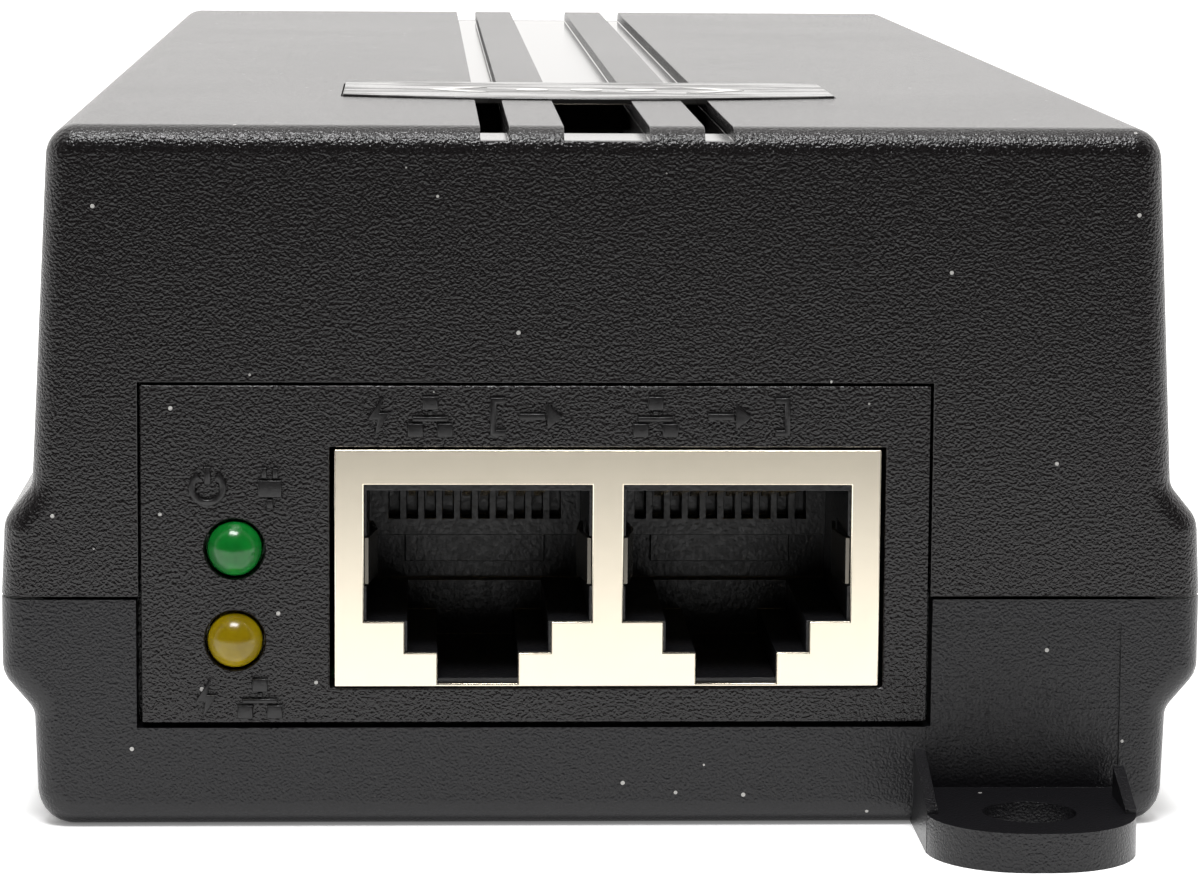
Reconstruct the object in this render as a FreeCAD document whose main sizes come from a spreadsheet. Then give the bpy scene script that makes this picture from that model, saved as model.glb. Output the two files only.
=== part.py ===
# Power-over-Ethernet injector: a moulded two-part case with two mounting ears, a shielded
# two-port jack and two indicator lamps at the front, a mains inlet at the back, and a small
# power supply on one circuit board inside.
# Millimetres.  +X is right seen from the jack end, +Y points to the mains inlet, +Z is up.
# The origin is on the table, under the middle of the case.
import FreeCAD
import Part
import Sketcher
import math
import os
import re
from FreeCAD import Placement, Rotation, Vector

# ---------------------------------------------------------------- driving dimensions
SIZES = {
    # case, overall
    "body_length": (140.0, "case, front face to rear face"),
    "body_width": (65.0, "case across its side rails"),
    "body_height": (38.0, "case, table to top"),
    "base_inset": (1.9, "underside narrower than the rails, each side"),
    "waist_inset": (1.7, "sides narrower than the rails, each side"),
    "top_inset": (2.7, "top narrower than the rails, each side"),
    "shoulder_inset": (0.2, "rails' upper edge inside their widest, each side"),
    "rail_foot": (6.3, "height where the rail starts to swell"),
    "rail_low": (8.3, "height of the rail's lower edge"),
    "part_line": (12.6, "height of the joint between base and cover"),
    "part_gap": (0.16, "shadow gap at that joint"),
    "rail_shoulder": (16.75, "height of the rail's upper edge"),
    "rail_root": (18.6, "height where the rail meets the side"),
    "wall": (2.0, "side and end walls"),
    "floor_wall": (2.2, "floor of the base"),
    "roof_wall": (2.4, "roof of the cover"),
    "tongue_wall": (1.0, "lip of the base inside the cover"),
    "tongue_height": (2.0, "lip, above the joint"),
    "tongue_gap": (0.2, "lip to cover"),
    "end_round": (1.5, "rounding of the end faces' rims"),
    "top_round": (1.7, "rounding of the top's long edges"),
    "bottom_round": (2.0, "rounding of the underside's long edges"),
    "swell_round": (1.6, "rounding of the rail's outer edges"),
    "root_round": (1.2, "rounding of the rail's inner edges"),
    # grooves and vents in the top
    "groove_depth": (0.75, "lengthwise grooves in the roof"),
    "groove_wide": (4.6, "middle groove"),
    "groove_narrow": (1.55, "outer grooves"),
    "groove_pitch": (6.0, "middle groove to outer groove"),
    "vent_start": (6.2, "vent slot, from the end face"),
    "vent_length": (25.8, "vent slot, along the groove"),
    "label_setback": (25.4, "top label's front corners, from the front face"),
    "label_width": (29.0, "top label, across"),
    "label_length": (12.3, "top label, along the case"),
    "label_bow": (3.0, "bow of the label's front edge"),
    "label_thick": (0.4, "top label"),
    "label_recess": (0.26, "recess for the top label"),
    "label_seat_gap": (0.1, "top label to the rim of its recess"),
    "rating_width": (44.0, "underside label, across"),
    "rating_length": (70.0, "underside label, along the case"),
    "rating_recess": (0.25, "pocket for the underside label"),
    "rating_thick": (0.15, "underside label"),
    "label_gap": (0.3, "underside label to its pocket"),
    # mounting ears
    "ear_reach": (11.0, "ear beyond the end face"),
    "ear_side": (4.4, "ear's outer edge from the case's side"),
    "ear_width": (11.2, "ear, across"),
    "ear_hole_side": (5.65, "screw hole from the ear's outer edge"),
    "ear_thick": (2.1, "ear plate"),
    "ear_round": (5.0, "ear's corners"),
    "ear_hole_radius": (2.5, "screw hole in the ear"),
    "ear_hole_reach": (5.9, "screw hole beyond the end face"),
    "rib_wall": (0.6, "ribs beside the ear"),
    "rib_height": (4.3, "ribs at the end face"),
    "rib_reach": (6.4, "ribs beyond the end face"),
    "rib_toe": (0.25, "ribs above the plate at their tip"),
    "patch_top": (11.2, "flat patch over the ear, its upper edge"),
    "patch_depth": (0.15, "flat patch, sunk into the end face"),
    # case screws
    "boss_y": (58.0, "screw bosses from the middle"),
    "boss_radius": (3.4, "screw bosses and posts"),
    "screw_radius": (1.5, "case screw"),
    "screw_head_radius": (2.8, "case screw head"),
    "screw_head": (2.2, "case screw head height"),
    "screw_length": (16.0, "case screw below its head"),
    "screw_seat": (6.0, "screw head seat above the table"),
    "screw_clear": (0.3, "hole around a free shank or head"),
    "boss_side": (7.2, "screw bosses from the case's side"),
    "thread_gap": (0.02, "thread to its pilot hole"),
    # front panel
    "panel_low": (5.8, "front panel's lower edge"),
    "panel_gap": (0.16, "panel to cover"),
    "panel_gap_base": (0.3, "panel to base"),
    "flange_thick": (1.0, "panel's flange behind the wall"),
    "flange_reach": (1.2, "flange beyond the panel's face"),
    "panel_side": (7.6, "panel's left edge inside the rails"),
    "panel_beside": (2.64, "panel's right edge to the jack"),
    "panel_over": (3.45, "panel's upper edge to the jack"),
    "window_gap": (0.26, "panel to jack, each side"),
    "window_gap_low": (0.12, "panel to jack, above and below"),
    # rear panel and inlet
    "rear_panel_half": (18.0, "rear panel's half width"),
    "rear_panel_over": (2.0, "rear panel's upper edge to the inlet"),
    "inlet_width": (27.2, "mains inlet"),
    "inlet_height": (19.8, "mains inlet"),
    "inlet_depth": (22.0, "mains inlet"),
    "inlet_gap": (0.2, "inlet to rear panel"),
    "socket_width": (24.4, "inlet cavity"),
    "socket_height": (16.6, "inlet cavity"),
    "socket_depth": (17.0, "inlet cavity"),
    "socket_corner": (4.2, "inlet cavity's two cut corners"),
    "pin_wide": (2.0, "inlet blade, across"),
    "pin_tall": (4.0, "inlet blade, upright"),
    "pin_pitch": (14.0, "live blade to neutral blade"),
    "pin_raise": (2.0, "earth blade above, the others below the middle"),
    "pin_recess": (3.0, "blade tips inside the mouth"),
    "pin_tail": (3.0, "blades behind the inlet"),
    # circuit board
    "board_low": (6.2, "board's underside"),
    "board_thick": (1.6, "board"),
    "board_side": (5.0, "board's edge from the case's side"),
    "standoff_side": (8.5, "board screws from the case's side"),
    "board_front": (3.4, "board's front edge from the front face"),
    "board_rear": (3.4, "board's rear edge from the rear face"),
    "board_gap": (0.5, "board to screw bosses"),
    "standoff_y": (47.0, "board screws from the middle"),
    "standoff_radius": (3.0, "board standoffs"),
    "board_screw_radius": (1.25, "board screw"),
    "board_screw_head_radius": (2.4, "board screw head"),
    "board_screw_head": (1.6, "board screw head height"),
    "board_screw_length": (5.0, "board screw below its head"),
    "sheet_thick": (0.3, "insulating sheet under the board"),
    "sheet_width": (42.0, "insulating sheet"),
    "sheet_length": (84.0, "insulating sheet"),
    # jack
    "jack_x": (0.16, "jack's middle"),
    "jack_height": (12.9, "jack, above the board"),
    "jack_cheek": (1.565, "jack's side to the port"),
    "port_web": (1.67, "shield between the ports"),
    "jack_depth": (18.0, "jack, front to back"),
    "jack_proud": (0.15, "shield face in front of the panel"),
    "shield_wall": (0.3, "shield sheet"),
    "shield_gap": (0.05, "shield to housing"),
    "port_width": (12.3, "port window"),
    "port_crown": (11.0, "port window's top above the board"),
    "port_sill": (3.53, "port window's floor above the board"),
    "step_sill": (1.83, "upper step's floor above the board"),
    "latch_sill": (0.4, "lower step's floor above the board"),
    "latch_cut": (0.15, "lower step's cut in the shield, above the board"),
    "ceiling_rise": (0.7, "cavity's ceiling above the window's top"),
    "comb_drop": (3.95, "comb slots' floor below the window's top"),
    "comb_rise": (2.57, "underside of the comb above the window's floor"),
    "pivot_drop": (0.55, "contact arm's bend below the window's top"),
    "finger_rise": (3.27, "grounding finger's middle above the window's floor"),
    "step_width": (7.9, "upper step of the latch way"),
    "latch_width": (4.35, "lower step of the latch way"),
    "port_inset": (0.15, "housing's cavity inside the window's sides"),
    "port_lip": (0.35, "housing's lip under the window's top"),
    "lip_depth": (1.2, "that lip, front to back"),
    "port_depth": (13.4, "port, front to comb"),
    "comb_count": (10, "slots of the comb"),
    "comb_slot": (0.62, "comb slot"),
    "comb_depth": (1.5, "comb slots, front to back"),
    "contact_count": (8, "contacts in a port"),
    "contact_pitch": (1.016, "contact to contact"),
    "contact_wide": (0.4, "contact wire"),
    "contact_thick": (0.25, "contact wire"),
    "contact_slope": (10.5, "contact arm's slope, degrees"),
    "contact_length": (11.2, "contact arm"),
    "pivot_inset": (2.7, "contact arm's bend from the shield's face"),
    "pivot_gap": (0.06, "contact arm to its fixed wire"),
    "channel_width": (8.6, "channel of the fixed wires"),
    "finger_height": (2.5, "grounding finger"),
    "finger_thick": (0.2, "grounding finger"),
    "finger_root": (0.15, "finger's bend inside the window's edge"),
    "finger_bulge": (0.62, "finger's crown inside the window's edge"),
    "finger_tip": (0.36, "finger's tip inside the window's edge"),
    "finger_crown_run": (3.2, "finger, bend to crown"),
    "finger_run": (6.0, "finger, bend to tip"),
    "finger_pocket": (0.55, "room behind a pressed finger"),
    "finger_gap": (0.12, "room around a finger"),
    # lamps
    "lamp_radius": (1.5, "lamp"),
    "lamp_share": (0.4826, "lamps' place between the panel's edge and the jack"),
    "lamp_high_rise": (7.5, "upper lamp above the board"),
    "lamp_low_rise": (2.5, "lower lamp above the board"),
    "lead_run_high": (4.6, "upper lamp's leads, back to their bend"),
    "lead_run_low": (3.0, "lower lamp's leads, back to their bend"),
    "lamp_gap": (0.12, "lamp to its hole"),
    "lamp_proud": (1.1, "lamp's tip in front of the panel"),
    "lamp_rim_radius": (1.9, "lamp's rim"),
    "lamp_rim": (1.0, "lamp's rim, front to back"),
    "lead_wide": (0.5, "lamp leads"),
    "lead_pitch": (2.54, "lamp lead to lead"),
    # components on the board
    "tall_gap": (2.8, "bulk capacitor to the roof"),
    "sink_gap": (5.8, "heatsinks and transformer to the roof"),
    "can_gap": (7.8, "output capacitors to the roof"),
    "leg_wide": (0.8, "legs of the disc parts"),
    "clip_wall": (0.5, "fuse clips"),
    "output_can_radius": (5.0, "output capacitors"),
    "output_can_y": (-27.5, "output capacitors, along the case"),
    "output_can_left": (-9.5, "left output capacitor, across"),
    "output_can_right": (13.5, "right output capacitor, across"),
    "choke_x": (-13.0, "line choke, across"),
    "choke_y": (24.0, "line choke, along the case"),
    "choke_half": (9.0, "line choke core's half length"),
    "choke_leg": (4.0, "line choke core's leg and half depth"),
    "choke_height": (18.0, "line choke core"),
    "coil_thick": (1.8, "coils on the choke's legs"),
    "coil_gap": (0.4, "coils to the choke's yokes"),
    "core_x": (0.0, "transformer, across"),
    "core_y": (-11.0, "transformer, along the case"),
    "core_half": (13.0, "transformer core's half length"),
    "core_deep": (5.0, "transformer core's half depth"),
    "core_lift": (2.0, "transformer core above the board"),
    "core_yoke": (3.2, "transformer core's upper and lower yokes"),
    "core_middle": (3.05, "transformer core's middle leg, half width"),
    "former_wall": (1.2, "bobbin's tube"),
    "former_gap": (0.5, "bobbin's flange to the outer legs"),
    "former_reach": (4.4, "bobbin's flange beyond the core"),
    "former_plate": (1.0, "bobbin's flange"),
    "former_foot": (3.0, "bobbin's feet"),
    "winding_inset": (0.3, "winding inside the bobbin's flanges"),
    "sink_inset": (0.9, "heatsinks from the board's edge"),
    "sink_thick": (1.8, "heatsinks"),
    "primary_sink_y": (15.0, "primary heatsink, along the case"),
    "primary_sink_length": (16.0, "primary heatsink"),
    "secondary_sink_y": (-23.0, "secondary heatsink, along the case"),
    "secondary_sink_length": (12.0, "secondary heatsink"),
    "transistor_thick": (1.3, "switching transistor"),
    "diode_thick": (4.4, "output diode"),
    "device_length": (10.0, "power devices"),
    "device_height": (15.0, "power devices"),
    "device_lift": (4.0, "power devices above the board"),
    "chip_rows": (2, "rows of chip resistors"),
    "chip_columns": (5, "chip resistors in a row"),
    "chip_spacing": (4.0, "chip to chip"),
    "chip_y": (-36.0, "first row of chips, along the case"),
    "chip_row_pitch": (1.8, "row to row"),
    "chip_long": (2.0, "chip resistor"),
    "chip_wide": (1.2, "chip resistor"),
    "chip_high": (0.6, "chip resistor"),
}

# sizes that follow others
TIED = {
    "base_width": ("body_width - 2 * base_inset", "across the underside"),
    "waist_width": ("body_width - 2 * waist_inset", "across the sides just above and below the rails"),
    "top_width": ("body_width - 2 * top_inset", "across the top before its edge rounding"),
    "shoulder_width": ("body_width - 2 * shoulder_inset", "across the top of the rails"),
    "ear_outer": ("body_width / 2 - ear_side", "ear's outer edge from the middle"),
    "ear_inner": ("ear_outer - ear_width", "ear's inner edge from the middle"),
    "ear_hole_x": ("ear_outer - ear_hole_side", "screw hole from the middle"),
    "boss_x": ("body_width / 2 - boss_side", "screw bosses from the middle"),
    "board_top": ("board_low + board_thick", "board's upper face"),
    "board_width": ("body_width - 2 * board_side", "board"),
    "standoff_x": ("body_width / 2 - standoff_side", "board screws from the middle"),
    "port_pitch": ("port_width + port_web", "port to port"),
    "jack_width": ("port_pitch + port_width + 2 * jack_cheek", "jack over its shield"),
    "jack_top": ("board_top + jack_height", "jack's top above the table"),
    "port_top": ("board_top + port_crown", "port window's top"),
    "port_low": ("board_top + port_sill", "port window's floor"),
    "step_low": ("board_top + step_sill", "upper step's floor"),
    "latch_low": ("board_top + latch_sill", "lower step's floor"),
    "latch_window_low": ("board_top + latch_cut", "lower step's cut in the shield"),
    "port_ceiling": ("port_top + ceiling_rise", "cavity's ceiling behind the lip"),
    "comb_low": ("port_top - comb_drop", "comb slots' floor"),
    "comb_foot": ("port_low + comb_rise", "underside of the comb"),
    "pivot_height": ("port_top - pivot_drop", "contact arm's bend above the table"),
    "finger_middle": ("port_low + finger_rise", "grounding finger above the table"),
    "lamp_high": ("board_top + lamp_high_rise", "upper lamp above the table"),
    "lamp_low": ("board_top + lamp_low_rise", "lower lamp above the table"),
    "panel_left": ("panel_side - body_width / 2", "front panel's left edge"),
    "lamp_x": ("panel_left + lamp_share * (jack_x - jack_width / 2 - panel_left)",
               "lamps from the middle"),
    "panel_right": ("jack_x + jack_width / 2 + panel_beside", "front panel's right edge"),
    "panel_top": ("jack_top + panel_over", "front panel's upper edge"),
    "rear_panel_top": ("board_top + inlet_height + rear_panel_over", "rear panel's upper edge"),
    "room": ("body_height - roof_wall - board_top", "board to roof"),
}

doc = FreeCAD.newDocument("PoeInjector")
sheet = doc.addObject("Spreadsheet::Sheet", "Sizes")
NOTES = {**{alias: (str(value), note) for alias, (value, note) in SIZES.items()},
         **{alias: (f"={formula}", note) for alias, (formula, note) in TIED.items()}}
for row, (alias, (content, note)) in enumerate(NOTES.items(), start=1):
    sheet.set(f"A{row}", alias)
    sheet.setAlias(f"B{row}", alias)
    sheet.set(f"B{row}", content)
    sheet.set(f"C{row}", note)
doc.recompute()


def size(alias):
    """Current value of one driving dimension."""
    return sheet.get(alias)


def linked(text):
    """An expression in plain size names, with each name pointed at the sheet."""
    return re.sub(r"[a-z][a-z0-9_]*", lambda m: "Sizes." + m[0] if m[0] in NOTES else m[0], str(text))


def bind(thing, **places):
    """Drive properties of an object from the sheet; x, y and z drive its place."""
    for prop, text in places.items():
        path = f".Placement.Base.{prop}" if prop in "xyz" else prop
        thing.setExpression(path, linked(text))


# ---------------------------------------------------------------- solids from primitives
def box(name, x, y, z):
    """Block between the given low and high expressions along each axis."""
    block = doc.addObject("Part::Box", name)
    bind(block, x=x[0], y=y[0], z=z[0])
    bind(block, Length=f"({x[1]}) - ({x[0]})", Width=f"({y[1]}) - ({y[0]})", Height=f"({z[1]}) - ({z[0]})")
    return block


TURNS = {
    "x": Rotation(Vector(0, 1, 0), 90),
    "y": Rotation(Vector(1, 0, 0), -90),
    "z": Rotation(),
}


def cylinder(name, radius, length, start, axis="z"):
    """Round bar from a start point, running towards plus the named axis."""
    bar = doc.addObject("Part::Cylinder", name)
    bar.Placement = Placement(Vector(), TURNS[axis])
    bind(bar, x=start[0], y=start[1], z=start[2], Radius=radius, Height=length)
    return bar


def sphere(name, radius, centre):
    ball = doc.addObject("Part::Sphere", name)
    bind(ball, x=centre[0], y=centre[1], z=centre[2], Radius=radius)
    return ball


def fuse(name, pieces):
    """Pieces as one object: touching ones merge, the others stay separate solids."""
    if len(pieces) == 1:
        pieces[0].Label = name
        return pieces[0]
    whole = doc.addObject("Part::MultiFuse", name)
    whole.Shapes = pieces
    whole.Refine = True
    return whole


def cut(name, base, tools):
    """Base with every tool taken away."""
    rest = doc.addObject("Part::Cut", name)
    rest.Base = base
    rest.Tool = fuse(f"{name}_tools", tools)
    rest.Refine = True
    return rest


# ---------------------------------------------------------------- solids from sketches
def new_body(name):
    return doc.addObject("PartDesign::Body", name)


def new_sketch(body, name, plane, offset=None):
    """Sketch on one of the body's own origin planes, moved along its normal by offset."""
    sketch = body.newObject("Sketcher::SketchObject", name)
    host = [f for f in body.Origin.OriginFeatures if f.Role == f"{plane}_Plane"][0]
    sketch.AttachmentSupport = [(host, "")]
    sketch.MapMode = "FlatFace"
    if offset is not None:
        sketch.setExpression(".AttachmentOffset.Base.z", linked(offset))
    return sketch


def pin_point(sketch, curve, point, across, up):
    """Fix one point of a curve at a place measured from the sketch's origin."""
    for kind, text in (("DistanceX", across), ("DistanceY", up)):
        index = sketch.addConstraint(Sketcher.Constraint(kind, -1, 1, curve, point, 1.0))
        sketch.setExpression(f"Constraints[{index}]", linked(text))


def add_polygon(sketch, corners):
    """Closed outline of straight sides through the given corners."""
    first = sketch.GeometryCount
    count = len(corners)
    turn = math.tau / count
    ring = [Vector(math.cos(turn * i), math.sin(turn * i), 0) for i in range(count + 1)]
    for i in range(count):
        sketch.addGeometry(Part.LineSegment(ring[i], ring[i + 1]))
    for i, (across, up) in enumerate(corners):
        follower = first + (i + 1) % count
        sketch.addConstraint(Sketcher.Constraint("Coincident", first + i, 2, follower, 1))
        pin_point(sketch, first + i, 1, across, up)


def add_rectangle(sketch, across, up):
    add_polygon(sketch, [(across[0], up[0]), (across[1], up[0]), (across[1], up[1]), (across[0], up[1])])


def add_circle(sketch, across, up, radius):
    curve = sketch.addGeometry(Part.Circle(Vector(), Vector(0, 0, 1), 1.0))
    index = sketch.addConstraint(Sketcher.Constraint("Radius", curve, 1.0))
    sketch.setExpression(f"Constraints[{index}]", linked(radius))
    pin_point(sketch, curve, 3, across, up)


def pad(body, sketch, length, midplane=False, reverse=False):
    doc.recompute()
    feature = body.newObject("PartDesign::Pad", f"{sketch.Name}_pad")
    feature.Profile = sketch
    feature.Midplane = midplane
    feature.Reversed = reverse
    bind(feature, Length=length)
    doc.recompute()
    return feature


def pocket(body, sketch, length=None, midplane=False, reverse=False):
    """Cut the sketch into the body; with no length it goes right through."""
    doc.recompute()
    before = body.Tip.Shape.Volume
    feature = body.newObject("PartDesign::Pocket", f"{sketch.Name}_pocket")
    feature.Profile = sketch
    feature.Midplane = midplane
    feature.Reversed = reverse
    if length is None:
        feature.Type = "ThroughAll"
    else:
        bind(feature, Length=length)
    doc.recompute()
    if feature.Shape.Volume > before - 1e-3:
        raise RuntimeError(f"{sketch.Name} removes nothing")
    return feature


def soften(body, name, radius, wanted):
    """Round the wanted edges of the body's latest feature; wanted tests one edge."""
    doc.recompute()
    base = body.Tip
    names = [f"Edge{i}" for i, edge in enumerate(base.Shape.Edges, start=1) if wanted(edge)]
    feature = body.newObject("PartDesign::Fillet", name)
    feature.Base = (base, names)
    bind(feature, Radius=radius)
    doc.recompute()
    return feature


def both_sides(half):
    """Outline symmetric about the upright axis, from its right half listed bottom to top."""
    return half + [(f"-({across})", up) for across, up in reversed(half)]


def near(a, b):
    return abs(a - b) < 1e-4


def long_edge(edge, half_width, height):
    """True for an edge along the case at the given distance from the middle and height."""
    middle = edge.BoundBox.Center
    straight = edge.BoundBox.YLength > size("body_length") / 2
    return straight and near(abs(middle.x), half_width) and near(middle.z, height)


def end_rim(edge, open_height):
    """True for an edge of either end face, apart from the open side at open_height."""
    span = edge.BoundBox
    at_end = near(abs(span.YMin), size("body_length") / 2) and near(span.YMin, span.YMax)
    at_mouth = near(span.ZMin, open_height) and near(span.ZMax, open_height)
    return at_end and not at_mouth


nodes = {}


def keep(thing, name):
    """Register a finished sub-part under its own name."""
    thing.Label = name
    nodes[name] = thing
    return thing


# ---------------------------------------------------------------- shared places
FRONT = "-body_length / 2"
REAR = "body_length / 2"
ROOF_IN = "(body_height - roof_wall)"
SIGNS = ((1, 1), (-1, 1), (-1, -1), (1, -1))
EARS = (1, -1)
GROOVES = (("-groove_pitch", "groove_narrow"), ("0", "groove_wide"), ("groove_pitch", "groove_narrow"))


def signed(sign, text):
    return text if sign > 0 else f"-({text})"


def ordered(a, b, sign):
    """A low-high pair after both ends are mirrored by sign."""
    return (a, b) if sign > 0 else (f"-({b})", f"-({a})")


def around(middle, width):
    """Low-high pair of a width laid evenly about its middle."""
    return f"({middle}) - ({width}) / 2", f"({middle}) + ({width}) / 2"


# ---------------------------------------------------------------- bottom base
def make_bottom_base():
    body = new_body("bottom_base")
    mouth = "part_line - part_gap / 2"
    mouth_height = size("part_line") - size("part_gap") / 2
    section = new_sketch(body, "base_section", "XZ")
    add_polygon(section, both_sides([
        ("base_width / 2", "0"), ("waist_width / 2", "rail_foot"),
        ("body_width / 2", "rail_low"), ("body_width / 2", mouth)]))
    pad(body, section, "body_length", midplane=True)
    soften(body, "base_underside_round", "bottom_round",
           lambda e: long_edge(e, size("base_width") / 2, 0))
    soften(body, "base_rail_root", "root_round",
           lambda e: long_edge(e, size("waist_width") / 2, size("rail_foot")))
    soften(body, "base_rail_round", "swell_round",
           lambda e: long_edge(e, size("body_width") / 2, size("rail_low")))
    soften(body, "base_end_round", "end_round", lambda e: end_rim(e, mouth_height))

    tongue = new_sketch(body, "base_tongue", "XZ")
    tongue_half = "(body_width / 2 - wall - tongue_gap)"
    add_polygon(tongue, both_sides([(tongue_half, "rail_low"), (tongue_half, "part_line + tongue_height")]))
    pad(body, tongue, "body_length - 2 * wall - 2 * tongue_gap", midplane=True)
    hollow = new_sketch(body, "base_hollow", "XZ")
    hollow_half = f"({tongue_half} - tongue_wall)"
    add_polygon(hollow, both_sides([
        ("base_width / 2 - wall", "floor_wall"), ("waist_width / 2 - wall", "rail_foot"),
        (hollow_half, "rail_low"), (hollow_half, "part_line + tongue_height + wall")]))
    pocket(body, hollow, "body_length - 2 * wall", midplane=True)

    front = new_sketch(body, "base_front_opening", "XZ")
    add_rectangle(front, ("panel_left - panel_gap_base", "panel_right + panel_gap_base"),
                  ("panel_low - panel_gap_base", "part_line + tongue_height"))
    pocket(body, front, reverse=True)
    rear = new_sketch(body, "base_rear_opening", "XZ")
    add_rectangle(rear, ("-rear_panel_half - panel_gap_base", "rear_panel_half + panel_gap_base"),
                  ("panel_low - panel_gap_base", "part_line + tongue_height"))
    pocket(body, rear)

    # bosses for the case screws, and standoffs for the board
    bosses = new_sketch(body, "base_bosses", "XY")
    for sx, sy in SIGNS:
        add_circle(bosses, signed(sx, "boss_x"), signed(sy, "boss_y"), "boss_radius")
    pad(body, bosses, mouth)
    standoffs = new_sketch(body, "base_standoffs", "XY")
    for sx, sy in SIGNS:
        add_circle(standoffs, signed(sx, "standoff_x"), signed(sy, "standoff_y"), "standoff_radius")
    pad(body, standoffs, "board_low")
    pilots = new_sketch(body, "base_pilots", "XY", offset="board_low")
    for sx, sy in SIGNS:
        add_circle(pilots, signed(sx, "standoff_x"), signed(sy, "standoff_y"),
                   "board_screw_radius + thread_gap")
    pocket(body, pilots, "board_low - floor_wall / 2")
    heads = new_sketch(body, "base_counterbores", "XY")
    shanks = new_sketch(body, "base_screw_holes", "XY")
    for sx, sy in SIGNS:
        add_circle(heads, signed(sx, "boss_x"), signed(sy, "boss_y"), "screw_head_radius + screw_clear")
        add_circle(shanks, signed(sx, "boss_x"), signed(sy, "boss_y"), "screw_radius + screw_clear")
    pocket(body, heads, "screw_seat", reverse=True)
    pocket(body, shanks, reverse=True)

    # shallow pocket for the label underneath
    rating = new_sketch(body, "base_label_pocket", "XY")
    add_rectangle(rating, ("-rating_width / 2 - label_gap", "rating_width / 2 + label_gap"),
                  ("-rating_length / 2 - label_gap", "rating_length / 2 + label_gap"))
    pocket(body, rating, "rating_recess", reverse=True)

    # one ear at the front right, the other diagonally opposite
    plates = new_sketch(body, "ear_plates", "XY")
    for sign in EARS:
        add_rectangle(plates, ordered("ear_inner", "ear_outer", sign),
                      ordered("-body_length / 2 - ear_reach", "-body_length / 2 + wall", sign))
    pad(body, plates, "ear_thick")
    reach = size("body_length") / 2 + size("ear_reach")
    soften(body, "ear_corners", "ear_round",
           lambda e: near(abs(e.BoundBox.Center.y), reach) and near(e.BoundBox.ZLength, size("ear_thick")))
    for sign in EARS:
        end = "front" if sign > 0 else "rear"
        for part, inner in (("inner", "ear_inner"), ("outer", "ear_outer - rib_wall")):
            rib = new_sketch(body, f"ear_rib_{part}_{end}", "YZ",
                             offset=ordered(inner, f"{inner} + rib_wall", sign)[0])
            root = signed(sign, "-body_length / 2 + wall / 2")
            face = signed(sign, "-body_length / 2")
            tip = signed(sign, "-body_length / 2 - rib_reach")
            add_polygon(rib, [(root, "0"), (root, "rib_height"), (face, "rib_height"),
                              (tip, "ear_thick + rib_toe"), (tip, "0")])
            pad(body, rib, "rib_wall")
    holes = new_sketch(body, "ear_holes", "XY")
    for sign in EARS:
        add_circle(holes, signed(sign, "ear_hole_x"), signed(sign, "-body_length / 2 - ear_hole_reach"),
                   "ear_hole_radius")
    pocket(body, holes, reverse=True)
    for sign in EARS:
        end = "front" if sign > 0 else "rear"
        patch = new_sketch(body, f"ear_patch_{end}", "XZ",
                           offset=signed(sign, "body_length / 2 - patch_depth"))
        add_rectangle(patch, ordered("ear_inner + rib_wall", "ear_outer", sign), ("ear_thick", "patch_top"))
        pocket(body, patch, "wall", reverse=sign > 0)
    keep(body, "bottom_base")


# ---------------------------------------------------------------- top cover
def bowed_plate(name, extra, up):
    """The roof label's outline between two heights, larger all round by extra; its front edge bows."""
    radius = "((label_width ^ 2 / 4 + label_bow ^ 2) / (2 * label_bow))"
    nose = f"({FRONT} + label_setback - label_bow - {extra})"
    blank = box(f"{name}_blank", around("0", f"label_width + 2 * {extra}"),
                (nose, f"{FRONT} + label_setback + label_length + {extra}"), up)
    disc = cylinder(f"{name}_disc", f"{radius} + {extra}", f"({up[1]}) - ({up[0]})",
                    ("0", f"{nose} + {radius} + {extra}", up[0]))
    plate = doc.addObject("Part::Common", name)
    plate.Base = blank
    plate.Tool = disc
    return plate


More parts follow.
